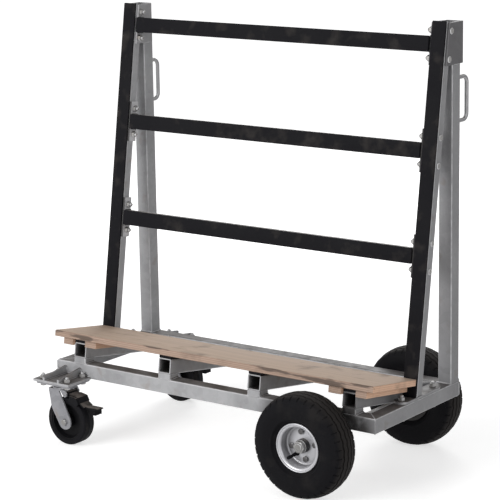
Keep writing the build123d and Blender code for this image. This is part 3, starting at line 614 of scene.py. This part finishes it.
LOOKS = {
    "galvanised": zinc(
        "galvanised_look", (140, 140, 142), (182, 182, 184),
        metallic=0.1, smooth=0.5, rough=0.68, stain=0.3, dirt_and_shade=0.85, end_shading=0.4, thrown_grime_and_shadow=0.9,
    ),
    "gusset_steel": zinc(
        "gusset_look", (146, 145, 147), (172, 171, 173),
        metallic=0.1, smooth=0.55, rough=0.7, stain=0.2, dirt_and_shade=0.4, end_shading=0.95,
    ),
    "black_steel": paint(
        "black_paint_look", (15, 15, 18), (26, 26, 30),
        metallic=0.0, smooth=0.5, rough=0.68, chips=0.4, dusty=0.75,
    ),
    "black_rubber": rubber(
        "black_rubber_look", (11, 11, 14), (23, 22, 26),
        smooth=0.6, rough=0.8, dusty=0.42,
    ),
    "plywood": plywood("plywood_look"),
    "zinc_fasteners": zinc(
        "fastener_look", (112, 111, 110), (164, 162, 159),
        metallic=0.3, smooth=0.34, rough=0.5, stain=0.3, dirt_and_shade=0.4,
    ),
    "tyre_rubber": rubber(
        "tyre_look", (9, 9, 11), (19, 18, 22),
        smooth=0.65, rough=0.85, dusty=0.15, road_dust_and_light=0.32,
    ),
    "rim_paint": paint(
        "rim_look", (172, 172, 176), (196, 196, 199),
        metallic=0.45, smooth=0.28, rough=0.4, chips=0.25, recess_shade=0.75,
    ),
    "castor_steel": zinc(
        "castor_look", (112, 112, 116), (160, 160, 164),
        metallic=0.2, smooth=0.4, rough=0.58, stain=0.4, dirt_and_shade=0.7,
    ),
    "castor_plastic": rubber(
        "castor_rubber_look", (10, 10, 12), (20, 19, 22),
        smooth=0.5, rough=0.7, dusty=0.15,
    ),
}

# Looks of pieces that the photograph shows otherwise than the rest of their slot
PLATE_ZINC = zinc(
    "plate_look", (184, 183, 185), (210, 209, 211),
    metallic=0.1, smooth=0.55, rough=0.7, stain=0.2, dirt_and_shade=0.4, end_shading=0.95, black_front=0.9,
)
# Rim bolts, darkened by dirt and by painted shade
DARK_ZINC = zinc(
    "dark_bolt_look", (66, 65, 66), (98, 96, 96),
    metallic=0.3, smooth=0.34, rough=0.5, stain=0.3, dirt_and_shade=0.4,
)
# Inner rim halves, darkened by grime and by painted shade from under the cart
GRIMY_SHADED_RIM = paint(
    "grimy_shaded_rim_look", (40, 39, 39), (62, 60, 59),
    metallic=0.2, smooth=0.5, rough=0.7, chips=0.25,
)
BRAKE_PAINT = paint(
    "brake_look", (10, 10, 12), (18, 18, 21),
    metallic=0.0, smooth=0.6, rough=0.75, chips=0.2, dusty=0.95, gloss=0.12,
)

for node_name, node_object in NODES.items():
    node_object.data.materials.clear()
    node_object.data.materials.append(LOOKS[SLOTS[node_name]])
for cart_end in ENDS:
    NODES[f"{cart_end}_inner_rim"].data.materials[0] = GRIMY_SHADED_RIM
    NODES[f"{cart_end}_castor_brake_lever"].data.materials[0] = BRAKE_PAINT


# Mesh helpers

def placed(name, data):
    """A new object in the scene."""
    made = bpy.data.objects.new(name, data)
    bpy.context.scene.collection.objects.link(made)
    return made


def to_piece(mesh_data, name, slot, body, replaced=()):
    """Turns a bmesh into a piece that rides on a body and wears a slot's finish."""
    bmesh.ops.recalc_face_normals(mesh_data, faces=mesh_data.faces)
    mesh = bpy.data.meshes.new(name)
    mesh_data.to_mesh(mesh)
    mesh_data.free()
    mesh.materials.append(LOOKS[slot])
    piece = placed(name, mesh)
    mesh.shade_smooth()
    mesh.set_sharp_from_angle(angle=SHARP)
    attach(piece, body)
    if replaced:
        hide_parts(*replaced)
    return piece


def stand_in(mesh_data, node, change):
    """A piece in place of a node, on its body and in its finish."""
    return to_piece(mesh_data, f"{node}_{change}", SLOTS[node], NODES[node]["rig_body"], [node])


def islands(node):
    """The separate solids of a CAD node, each as its list of corner points, in the mesh's own order."""
    copy = bmesh.new()
    copy.from_mesh(NODES[node].data)
    bmesh.ops.remove_doubles(copy, verts=copy.verts, dist=LOOSE_JOIN)
    left = set(copy.verts)
    found = []
    for start in copy.verts:
        if start not in left:
            continue
        left.remove(start)
        queue = [start]
        group = []
        while queue:
            corner = queue.pop()
            group.append(corner.co.copy())
            for edge in corner.link_edges:
                other = edge.other_vert(corner)
                if other in left:
                    left.remove(other)
                    queue.append(other)
        found.append(group)
    copy.free()
    return found


def eased_box(target, low, high, turn, ease):
    """Adds a box with rounded edges to a bmesh."""
    made = bmesh.new()
    bmesh.ops.create_cube(made, size=1.0)
    size = high - low
    for corner in made.verts:
        corner.co = Vector([corner.co[axis] * size[axis] for axis in range(3)]) + (low + high) / 2
    edges = made.edges[:]
    bmesh.ops.bevel(made, geom=edges, offset=ease, segments=EASE_STEPS, profile=0.5, affect="EDGES")
    bmesh.ops.transform(made, matrix=turn, verts=made.verts)
    part = bpy.data.meshes.new("part")
    made.to_mesh(part)
    made.free()
    target.from_mesh(part)
    bpy.data.meshes.remove(part)


def eased_boxes(node, ease):
    """Boxes of a rack node, drawn with rounded edges."""
    made = bmesh.new()
    for points in islands(node):
        low, high = box_of(points, RACK_TURN)
        eased_box(made, low, high, RACK_TURN, ease)
    return made


def refinished(node, slot):
    """A node's own solid in the finish of another slot, which the photograph shows on it."""
    made = bmesh.new()
    made.from_mesh(NODES[node].data)
    bmesh.ops.remove_doubles(made, verts=made.verts, dist=JOIN)
    return to_piece(made, f"{node}_refinished", slot, NODES[node]["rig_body"], [node])


dull_plates = refinished("slat_end_plates", "gusset_steel")
dull_plates.data.materials[0] = PLATE_ZINC
for cart_end in ENDS:
    refinished(f"{cart_end}_hub", "black_steel")
for boxy_node, boxy_ease in (
    ("slat_rubbers", RUBBER_EASE),
    ("arm_pads", RUBBER_EASE),
    ("deck_board", BOARD_EASE),
    ("deck_cleats", BOARD_EASE),
):
    stand_in(eased_boxes(boxy_node, boxy_ease), boxy_node, "eased")


def post_facings():
    """Rubber on the raked posts, eased along its length and cut level at the foot plate."""
    made = eased_boxes("post_rubbers", RUBBER_EASE)
    foot = node_box("post_rubbers")[0].z
    cut = bmesh.ops.bisect_plane(
        made,
        geom=made.verts[:] + made.edges[:] + made.faces[:],
        plane_co=(0, 0, foot),
        plane_no=(0, 0, -1),
        clear_outer=True,
    )
    rim = [item for item in cut["geom_cut"] if isinstance(item, bmesh.types.BMEdge)]
    bmesh.ops.holes_fill(made, edges=rim, sides=0)
    stand_in(made, "post_rubbers", "eased")


post_facings()


# Turned pieces: rings of points about an axis, joined into a skin

def skin(made, rings, closed):
    """Joins rings of equal count; an open skin gets a cap at each end."""
    corners = [[made.verts.new(point) for point in ring] for ring in rings]
    count = len(corners[0])
    pairs = list(zip(corners, corners[1:]))
    if closed:
        pairs.append((corners[-1], corners[0]))
    else:
        made.faces.new(corners[0][::-1])
        made.faces.new(corners[-1])
    for first, second in pairs:
        for i in range(count):
            made.faces.new((first[i], first[i - 1], second[i - 1], second[i]))


def full_turn(count):
    """Evenly spaced angles of one turn."""
    return [math.tau * i / count for i in range(count)]


def turned_ring(place, radius, height, sides=SIDES):
    """Ring about a place's Z axis."""
    turns = full_turn(sides)
    return [place @ Vector((radius * math.cos(t), radius * math.sin(t), height)) for t in turns]


def hex_ring(place, flats, height, drop=0.0):
    """Hexagon drawn with the rings' own count; drop is the cone cut that rounds its corners."""
    ring = []
    for turn in full_turn(SIDES):
        reach = flats / 2 / math.cos((turn + math.pi / 6) % (math.pi / 3) - math.pi / 6)
        fall = drop * (reach - HEX_TOP * flats / 2)
        ring.append(place @ Vector((reach * math.cos(turn), reach * math.sin(turn), height - fall)))
    return ring


def thread_rings(place, radius, low, high):
    """Rings of a thread from low to high, with a chamfered end."""
    count = max(2, round((high - low - THREAD_PITCH) / THREAD_PITCH))
    step = (high - low) / (count + 0.5)
    rings = []
    for i in range(count):
        rings.append(turned_ring(place, radius - THREAD_DEPTH, low + step * i))
        rings.append(turned_ring(place, radius, low + step * (i + 0.5)))
    rings.append(turned_ring(place, radius - THREAD_DEPTH, high - step / 2))
    rings.append(turned_ring(place, radius - 2 * THREAD_DEPTH, high))
    return rings


def hex_bolt(made, place, diameter, flats, head, grip, length):
    """Bolt with its head below the place's origin and a threaded end past the grip."""
    face = HEX_TOP * flats / 2
    rings = [
        turned_ring(place, face, -head),
        hex_ring(place, flats, -head, -CHAMFER),
        hex_ring(place, flats, -WASHER_FACE),
        turned_ring(place, face, -WASHER_FACE),
        turned_ring(place, face, 0.0),
        turned_ring(place, diameter / 2, 0.0),
    ]
    skin(made, rings + thread_rings(place, diameter / 2, grip, length), False)


def low_bolt(made, place, diameter, reach, head, grip, length):
    """Bolt with a low domed head, placed as a hex bolt is."""
    rings = [turned_ring(place, reach * share, -head * rise) for share, rise in LOW_DOME]
    rings.append(turned_ring(place, diameter / 2, 0.0))
    skin(made, rings + thread_rings(place, diameter / 2, grip, length), False)


def hex_nut(made, place, diameter, flats, height):
    """Nut on the place's origin, with rounded corners on both faces and a countersunk bore."""
    face = HEX_TOP * flats / 2
    bore = diameter / 2 + BORE_CLEAR
    rings = [
        turned_ring(place, bore, height - THREAD_DEPTH),
        turned_ring(place, bore + THREAD_DEPTH, height),
        turned_ring(place, face, height),
        hex_ring(place, flats, height, CHAMFER),
        hex_ring(place, flats, 0.0, -CHAMFER),
        turned_ring(place, face, 0.0),
        turned_ring(place, bore + THREAD_DEPTH, 0.0),
        turned_ring(place, bore, THREAD_DEPTH),
    ]
    skin(made, rings, True)


def turned_sleeve(made, place, bore, outer, low, high, ease):
    """Ring or sleeve about a place's Z axis, with eased outer edges."""
    line = (
        (bore, low),
        (outer - ease, low),
        (outer, low + ease),
        (outer, high - ease),
        (outer - ease, high),
        (bore, high),
    )
    skin(made, [turned_ring(place, radius, level, 2 * SIDES) for radius, level in line], True)


def turned_rod(made, place, radius, low, high, ease):
    """Solid rod about a place's Z axis, with eased ends."""
    line = ((radius - ease, low), (radius, low + ease), (radius, high - ease), (radius - ease, high))
    skin(made, [turned_ring(place, reach, level) for reach, level in line], False)


AXES = (Vector((1, 0, 0)), Vector((0, 1, 0)), Vector((0, 0, 1)))


def axis_place(origin, axis):
    """Frame at a point whose Z runs along a world axis."""
    along = AXES[axis]
    aside = AXES[(axis + 1) % 3]
    turn = Matrix((aside, along.cross(aside), along)).transposed().to_4x4()
    return Matrix.Translation(origin) @ turn


def refined_fasteners(node):
    """Redraws the plain bolts, nuts, washers, sleeves and pins of a node with their real edges."""
    made = bmesh.new()
    for points in islands(node):
        low, high = box_of(points)
        size = high - low
        middle = (low + high) / 2
        axis = max(range(3), key=lambda i: abs(size[i] - sorted(size)[1]))
        half = size[axis] / 2
        place = axis_place(middle, axis)
        back = place.inverted()
        local = [back @ point for point in points]
        reach = [point.xy.length for point in local]
        outer = max(reach)
        inner = min(reach)
        rim = [point for point, far in zip(local, reach) if far > RIM_SHARE * outer]
        levels = [point.z for point in rim]
        through = max(levels) - min(levels) > 2 * half - LEVEL_SLACK
        if through and len(rim) > HEX_CORNERS:
            if inner < BORED_SHARE * outer:
                turned_sleeve(made, place, inner, outer, -half, half, SHEET_EASE)
            else:
                turned_rod(made, place, outer, -half, half, ROD_EASE)
            continue
        flats = outer * math.sqrt(3)
        corner = math.atan2(rim[0].y, rim[0].x)
        place = place @ Matrix.Rotation(corner - math.pi / 6, 4, "Z")
        if through:
            foot = place @ Matrix.Translation((0, 0, -half))
            hex_nut(made, foot, 2 * inner - 2 * BORE_CLEAR, flats, 2 * half)
            continue
        if sum(levels) > 0:
            place = place @ Matrix.Rotation(math.pi, 4, "X")
            levels = [-level for level in levels]
        seat = place @ Matrix.Translation((0, 0, max(levels)))
        head = max(levels) + half
        length = half - max(levels)
        if len(rim) > HEX_CORNERS:
            low_bolt(made, seat, 2 * inner, outer, head, length - BOLT_END, length)
        else:
            hex_bolt(made, seat, 2 * inner, flats, head, length - BOLT_END, length)
    return stand_in(made, node, "cut")


for fastener_node in ("frame_bolts", "axle", "axle_fixings", "front_castor_pins", "rear_castor_pins"):
    refined_fasteners(fastener_node)
for cart_end in ENDS:
    rim_bolts = refined_fasteners(f"{cart_end}_rim_bolts")
    rim_bolts.data.materials[0] = DARK_ZINC


# Tyres and castor treads, turned about their own axles

def spun(made, centre, loops, turns):
    """Skin of section loops, given as (across, radius), set round an axle along Y."""
    rings = []
    for loop, turn in zip(loops, turns):
        out = Vector((math.cos(turn), 0, math.sin(turn)))
        rings.append([centre + out * radius + Vector((0, across, 0)) for across, radius in loop])
    skin(made, rings, True)


def arc_point(first, middle, last, share):
    """Point at a share of the arc through three points of a section, and its direction from the centre."""
    a, b, c = Vector(first), Vector(middle), Vector(last)
    twice = 2 * (a.x * (b.y - c.y) + b.x * (c.y - a.y) + c.x * (a.y - b.y))
    squares = [point.length_squared for point in (a, b, c)]
    heart = Vector((
        (squares[0] * (b.y - c.y) + squares[1] * (c.y - a.y) + squares[2] * (a.y - b.y)) / twice,
        (squares[0] * (c.x - b.x) + squares[1] * (a.x - c.x) + squares[2] * (b.x - a.x)) / twice,
    ))
    start = math.atan2(a.y - heart.y, a.x - heart.x)
    stop = math.atan2(c.y - heart.y, c.x - heart.x)
    turn = start + (stop - start) * share
    away = Vector((math.cos(turn), math.sin(turn)))
    return heart + away * (a - heart).length, away


def tyre_half(radius, half_width):
    """Half section as (across, radius, zigzag share, notch share), tread first and cavity last."""
    section = [(0.0, radius, 0, 0)]

    def crown(across):
        return radius - TREAD_CROWN * (across / TREAD_HALF) ** 2

    floor_half = GROOVE_HALF - GROOVE_DRAFT
    for groove in (GROOVE_PITCH / 2, 1.5 * GROOVE_PITCH):
        for edge, depth in (
            (-GROOVE_HALF, 0),
            (-floor_half, GROOVE_DEPTH),
            (floor_half, GROOVE_DEPTH),
            (GROOVE_HALF, 0),
        ):
            section.append((groove + edge, crown(groove + edge) - depth, 1, 0))
    for share, notch in TYRE_SHOULDER:
        section.append((share * TREAD_HALF, crown(share * TREAD_HALF), 0, notch))
    shoulder = (TREAD_HALF, radius - TREAD_CROWN)
    bulge = (half_width, BULGE_RADIUS)
    flange = (BEAD_OUT, FLANGE_RADIUS)
    for share, notch, proud in TYRE_SIDE:
        point, away = arc_point(shoulder, bulge, flange, share)
        point += away * proud
        section.append((point.x, point.y, 0, notch))
    section += [
        (BEAD_OUT, BEAD_RADIUS + TYRE_WALL / 2, 0, 0),
        (BEAD_OUT - TYRE_WALL / 2, BEAD_RADIUS, 0, 0),
        (BEAD_OUT - TYRE_WALL, BEAD_RADIUS, 0, 0),
        (BEAD_OUT - TYRE_WALL, FLANGE_RADIUS, 0, 0),
        (half_width - TYRE_WALL, BULGE_RADIUS, 0, 0),
        (TREAD_HALF - TYRE_WALL, radius - TREAD_CROWN - TYRE_WALL, 0, 0),
    ]
    return section


def tyre(end):
    """Pneumatic tyre with zigzag grooves and notched shoulders."""
    node = f"{end}_tyre"
    low, high = node_box(node)
    radius = (high.z - low.z) / 2
    section = tyre_half(radius, (high.y - low.y) / 2)
    first, last = NOTCH_SHARES
    shares = [0.0, first - NOTCH_WALL, first, last, last + NOTCH_WALL]
    shares += [0.5 + share for share in shares]
    loops = []
    turns = []
    for period in range(ZIGZAG_COUNT):
        for share in shares:
            shift = ZIGZAG * (1 - 4 * abs(share - 0.5))
            loop = []
            for side, start in ((1, 0.0), (-1, 0.5)):
                cut = NOTCH_DEPTH if start + first <= share <= start + last else 0.0
                half = [(side * out + shift * zig, r - cut * notch) for out, r, zig, notch in section]
                loop += half if side > 0 else half[:0:-1]
            loops.append(loop)
            turns.append(math.tau * (period + share) / ZIGZAG_COUNT)
    made = bmesh.new()
    spun(made, (low + high) / 2, loops, turns)
    stand_in(made, node, "treaded")


def castor_rubber(end):
    """Solid castor tread with round shoulders, a mould line and a step at its sides."""
    node = f"{end}_castor_tread"
    low, high = node_box(node)
    radius = (high.z - low.z) / 2
    half_width = (high.y - low.y) / 2
    band = radius - CASTOR_TREAD
    flat = half_width - CASTOR_ROUND
    half = [(MOULD_LINE, radius), (3 * MOULD_LINE, radius - MOULD_LINE)]
    for step in range(ROUND_STEPS + 1):
        turn = math.pi / 2 * step / ROUND_STEPS
        half.append((
            flat + CASTOR_ROUND * math.sin(turn),
            radius - MOULD_LINE - CASTOR_ROUND * (1 - math.cos(turn)),
        ))
    half += [
        (half_width, band + CASTOR_TREAD / 2),
        (half_width - 2 * MOULD_LINE, band + CASTOR_TREAD / 2 - 2 * MOULD_LINE),
        (half_width - 2 * MOULD_LINE, band),
    ]
    loop = half + [(-out, r) for out, r in reversed(half)]
    made = bmesh.new()
    spun(made, (low + high) / 2, [loop] * CASTOR_STEPS, full_turn(CASTOR_STEPS))
    stand_in(made, node, "moulded")


def brake_pad(end):
    """Ribbed pad of the brake's pedal: a core with a row of ribs round it."""
    node = f"{end}_castor_brake_pad"
    low, high = node_box(node)
    made = bmesh.new()
    core_low = low + Vector((PAD_RIB, PAD_RIB, PAD_RIB))
    core_high = high - Vector((PAD_RIB, PAD_RIB, 0))
    eased_box(made, core_low, core_high, Matrix.Identity(4), SHEET_EASE)
    pitch = (high.z - low.z) / PAD_RIBS
    for i in range(PAD_RIBS):
        base = low.z + pitch * i
        bottom = Vector((low.x, low.y, base))
        top = Vector((high.x, high.y, base + RIB_SHARE * pitch))
        eased_box(made, bottom, top, Matrix.Identity(4), SHEET_EASE)
    stand_in(made, node, "ribbed")


for cart_end in ENDS:
    tyre(cart_end)
    castor_rubber(cart_end)
    brake_pad(cart_end)


# Valve stems and weld beads, swept along their paths

def tube_rings(path, radii, sides):
    """Rings square to a path."""
    rings = []
    aside = None
    for i, point in enumerate(path):
        ahead = path[min(i + 1, len(path) - 1)] - path[max(i - 1, 0)]
        along = ahead.normalized()
        if aside is None:
            aside = along.orthogonal().normalized()
        else:
            aside = (aside - along * aside.dot(along)).normalized()
        other = along.cross(aside)
        turns = full_turn(sides)
        rings.append([point + (aside * math.cos(t) + other * math.sin(t)) * radii[i] for t in turns])
    return rings


def valve(end):
    """Rubber valve stem in the outer rim's dish, with a wider cap."""
    low, high = node_box(f"{end}_tyre")
    centre = (low + high) / 2
    outwards = -1 if end == "front" else 1
    away = Vector((math.cos(VALVE_TURN), 0, math.sin(VALVE_TURN)))
    path = []
    radii = []
    for radius, out, girth in VALVE_LINE:
        path.append(centre + away * (radius * MM) + Vector((0, outwards * out * MM, 0)))
        radii.append(girth * MM)
    made = bmesh.new()
    skin(made, tube_rings(path, radii, VALVE_SIDES), False)
    to_piece(made, f"{end}_valve_stem", "black_rubber", f"{end}_wheel")


for cart_end in ENDS:
    valve(cart_end)


def bead(made, path, radius, chance):
    """Rippled weld bead along straight stretches, half sunk in the joint."""
    path = [Vector(spot) for spot in path]
    spots = []
    for first, last in zip(path, path[1:]):
        count = max(2, round((last - first).length / BEAD_PITCH))
        spots += [first.lerp(last, i / count) for i in range(count)]
    spots.append(path[-1])
    radii = []
    for i in range(len(spots)):
        ripple = BEAD_RIPPLE * (i % 2) + chance.uniform(-BEAD_CHANCE, BEAD_CHANCE)
        radii.append(radius * (1 + ripple))
    radii[0] = radii[-1] = radius * BEAD_END
    skin(made, tube_rings(spots, radii, BEAD_SIDES), False)


RAIL_LOW, RAIL_HIGH = node_box("front_rail")
HALF_LONG = RAIL_HIGH.x
HALF_DEEP = -RAIL_LOW.y
RAIL_TOP = RAIL_HIGH.z
RAIL_UNDER = RAIL_LOW.z
TUBE = RAIL_TOP - RAIL_UNDER
POST_FACE = HALF_DEEP - TUBE


def mitre_seams(made, chance):
    """Seams round the outside of the base's four corners; the rear posts cover their tops."""
    over = RAIL_TOP - MITRE_SINK
    under = RAIL_UNDER + MITRE_SINK
    for x_side in SIGNS:
        for y_side in SIGNS:
            def spot(inset, level):
                return (x_side * (HALF_LONG - inset), y_side * (HALF_DEEP - inset), level)

            path = [
                spot(MITRE_SINK, RAIL_TOP - TUBE_ROUND),
                spot(MITRE_SINK, RAIL_UNDER + TUBE_ROUND),
                spot(TUBE_ROUND, under),
                spot(TUBE - BEAD_STOP, under),
            ]
            if y_side < 0:
                path = [spot(TUBE - BEAD_STOP, over), spot(TUBE_ROUND, over)] + path
            bead(made, path, SEAM, chance)


def arm_beads(made, chance):
    """Beads at the feet and tops of the risers, and where the arms meet the rear rail."""
    fall = math.tan(RAKE)
    for points in islands("arm_risers"):
        low, high = box_of(points)
        tops = [point for point in points if point.z > RAIL_TOP + TUBE_ROUND]
        crown = sum(point.z + fall * point.y for point in tops) / len(tops)
        for x, inwards in ((low.x, 1), (high.x, -1)):
            ends = [(x, y, RAIL_TOP) for y in (low.y + BEAD_STOP, high.y - BEAD_STOP)]
            bead(made, ends, WELD, chance)
            side = x + inwards * RISER_SINK
            ys = (low.y + TUBE_ROUND, high.y - TUBE_ROUND)
            bead(made, [(side, y, crown - fall * y + RISER_SINK) for y in ys], TUBE_SEAM, chance)
        for y in (low.y + RISER_SINK, high.y - RISER_SINK):
            xs = (low.x + TUBE_ROUND, high.x - TUBE_ROUND)
            bead(made, [(x, y, RAIL_TOP - RISER_SINK) for x in xs], TUBE_SEAM, chance)
    for number in range(1, ARMS + 1):
        low, high = box_of(corners_of(f"support_arm_{number}"), RACK_TURN)
        under, over = [z / math.cos(RAKE) - POST_FACE * fall for z in (low.z, high.z)]
        path = [
            (low.x, POST_FACE, under + TUBE_ROUND),
            (low.x, POST_FACE, over - ARM_SINK),
            (high.x, POST_FACE, over - ARM_SINK),
            (high.x, POST_FACE, under + TUBE_ROUND),
        ]
        bead(made, path, PLATE_SEAM, chance)


def post_beads(made, chance):
    """Beads round the feet of the posts and the ends of the handles, and under the gusset plates."""
    back = HALF_DEEP - FOOT_SINK
    low_seam = RAIL_TOP - FOOT_SINK
    for side, name in zip(SIGNS, ("left", "right")):
        inside = side * (HALF_LONG - TUBE)
        outside = side * (HALF_LONG - FOOT_SINK)
        bead(made, [
            (outside, POST_FACE, RAIL_TOP),
            (inside, POST_FACE, RAIL_TOP),
            (inside, back, RAIL_TOP),
        ], WELD, chance)
        bead(made, [
            (outside, POST_FACE + TUBE_ROUND, low_seam),
            (outside, HALF_DEEP - TUBE_ROUND, low_seam),
        ], SEAM, chance)
        bead(made, [
            (side * (HALF_LONG - TUBE_ROUND), back, low_seam),
            (inside + side * TUBE_ROUND, back, low_seam),
        ], SEAM, chance)
        post = corners_of(f"{name}_raked_post")
        foot = min(corner.z for corner in post)
        ys = [corner.y for corner in post if corner.z < foot + LEVEL_SLACK]
        bead(made, [
            (inside, min(ys) + BEAD_STOP, foot),
            (inside, max(ys), foot),
            (side * HALF_LONG, max(ys), foot),
            (side * HALF_LONG, min(ys) + BEAD_STOP, foot),
        ], PLATE_SEAM, chance)
        low, high = node_box(f"{name}_handle")
        rod = (high.x - low.x) / 2
        for level in (low.z + rod, high.z - rod):
            turns = full_turn(HANDLE_BEADS) + [math.tau]
            middle = Vector(((low.x + high.x) / 2, HALF_DEEP, level))
            ring = [middle + Vector((math.cos(t), 0, math.sin(t))) * rod for t in turns]
            bead(made, ring, ROD_SEAM, chance)
    for points in islands("gusset_plates"):
        low, high = box_of(points)
        near = min((low.x, high.x), key=lambda x: abs(abs(x) - HALF_LONG + TUBE / 2))
        ys = (POST_FACE + TUBE_ROUND, high.y - TUBE_ROUND)
        bead(made, [(near, y, low.z) for y in ys], PLATE_SEAM, chance)


def bracket_beads(made, chance):
    """Beads of the outriggers' webs and plates."""
    for end, y_side in zip(ENDS, SIGNS):
        low, high = node_box(f"{end}_outrigger")
        middle = (low.x + high.x) / 2
        floor_level = low.z + PLATE
        tip = low.y if y_side < 0 else high.y
        face = y_side * HALF_DEEP
        xs = (low.x + BEAD_STOP, high.x - BEAD_STOP)
        bead(made, [(x, face, floor_level) for x in xs], PLATE_SEAM, chance)
        for web in SIGNS:
            for flank in SIGNS:
                x = middle + web * WEB_SPAN / 2 + flank * PLATE / 2
                ys = (face, tip - y_side * WEB_SHORT)
                bead(made, [(x, y, floor_level) for y in ys], PLATE_SEAM, chance)
                zs = (floor_level, floor_level + WEB_RISE - TUBE_ROUND)
                bead(made, [(x, face, z) for z in zs], ROD_SEAM, chance)


def hanger_beads(made, chance):
    """Beads of the axle hangers, under the rails."""
    for points in islands("axle_hangers"):
        low, high = box_of(points)
        for y in (low.y, high.y):
            xs = (low.x + HANGER_STOP, high.x - HANGER_STOP)
            bead(made, [(x, y, high.z) for x in xs], WELD, chance)


def slat_beads(made, chance):
    """Beads round the back of the slats' ends."""
    for name in ("top_slat", "middle_slat", "bottom_slat"):
        low, high = box_of(corners_of(name), RACK_TURN)
        front = low.y + BEAD_STOP
        for x in (low.x, high.x):
            path = [(front, high.z), (high.y, high.z), (high.y, low.z), (front, low.z)]
            bead(made, [RACK_TURN @ Vector((x, y, z)) for y, z in path], PLATE_SEAM, chance)


weld_chance = random.Random(WELD_SEED)
frame_welds = bmesh.new()
for place_beads in (mitre_seams, arm_beads, post_beads, bracket_beads):
    place_beads(frame_welds, weld_chance)
to_piece(frame_welds, "frame_welds", "galvanised", "frame")
black_welds = bmesh.new()
for place_beads in (slat_beads, hanger_beads):
    place_beads(black_welds, weld_chance)
to_piece(black_welds, "black_welds", "black_steel", "frame")


# Cut edges of plates and tubes, softly broken as a file or grinder leaves them

def break_edges(shown, width):
    """Rounds the sharp edges of a piece that keeps its own solid."""
    weld = shown.modifiers.new("join", "WELD")
    weld.merge_threshold = JOIN
    plain = shown.modifiers.new("plain", "DECIMATE")
    plain.decimate_type = "DISSOLVE"
    plain.angle_limit = FLAT_ANGLE
    ease = shown.modifiers.new("ease", "BEVEL")
    ease.width = width
    ease.segments = BREAK_STEPS
    ease.limit_method = "ANGLE"
    ease.angle_limit = BREAK_ANGLE
    ease.use_clamp_overlap = True
    ease.harden_normals = True


for plate_node in ("gusset_plates", "foot_plates", "axle_hangers"):
    break_edges(NODES[plate_node], SHEET_EASE)
for cart_end in ENDS:
    for plate_name in ("outrigger", "castor_plate", "castor_fork", "castor_brake_lever"):
        break_edges(NODES[f"{cart_end}_{plate_name}"], SHEET_EASE)
break_edges(dull_plates, SHEET_EASE)


# Stage, lights and camera

def soft_light(name, place, size, power):
    """Round area lamp that looks at the lit point."""
    data = bpy.data.lights.new(name, "AREA")
    data.shape = "DISK"
    data.size = size
    data.energy = power
    light = placed(name, data)
    light.location = place
    light.rotation_euler = (Vector(LIT_POINT) - Vector(place)).to_track_quat("-Z", "Y").to_euler()


def floor():
    """Pale floor that keeps the cart's shadow and shows as white to the eye and in reflections."""
    made = bmesh.new()
    bmesh.ops.create_circle(made, cap_ends=True, segments=FLOOR_SIDES, radius=FLOOR_RADIUS)
    mesh = bpy.data.meshes.new("floor")
    made.to_mesh(mesh)
    made.free()
    look = Look("floor_look")
    away = look.add("ShaderNodeVectorMath", {0: look.place}, operation="LENGTH").outputs["Value"]
    glow = look.spread(away, *GLOW_REACH, *GLOW)
    look.finish(
        Base_Color=FLOOR_GREY,
        Roughness=0.9,
        Specular_IOR_Level=0.1,
        Emission_Color=WHITE,
        Emission_Strength=look.times(look.seen(), glow),
    )
    mesh.materials.append(look.material)
    plane = placed("floor", mesh)


def backdrop():
    """White world to the eye and in reflections, and an even fill light on the cart."""
    world = bpy.data.worlds.new("studio")
    bpy.context.scene.world = world
    world.use_nodes = True
    web = Web(world.node_tree)
    sky = web.tree.nodes["Background"]
    web.put(sky.inputs["Color"], WHITE)
    web.put(sky.inputs["Strength"], web.spread(web.seen(), 0.0, 1.0, FILL, 1.0))


def photo_camera():
    """Camera at the photograph's place, with its tilt and roll."""
    data = bpy.data.cameras.new("photo_camera")
    data.sensor_width = PHOTO_SENSOR
    data.lens = PHOTO_LENS
    camera = placed("photo_camera", data)
    level = math.cos(PHOTO_PITCH)
    back = Vector((
        math.sin(PHOTO_AZIMUTH) * level,
        -math.cos(PHOTO_AZIMUTH) * level,
        math.sin(PHOTO_PITCH),
    ))
    flat = Vector((math.cos(PHOTO_AZIMUTH), math.sin(PHOTO_AZIMUTH), 0))
    rise = back.cross(flat)
    right = flat * math.cos(PHOTO_ROLL) + rise * math.sin(PHOTO_ROLL)
    up = rise * math.cos(PHOTO_ROLL) - flat * math.sin(PHOTO_ROLL)
    turn = Matrix((right, up, back)).transposed().to_4x4()
    camera.matrix_world = Matrix.Translation(PHOTO_PLACE) @ turn
    bpy.context.scene.camera = camera


floor()
backdrop()
for lamp in LAMPS:
    soft_light(*lamp)
photo_camera()
bpy.context.scene.view_settings.view_transform = "Standard"
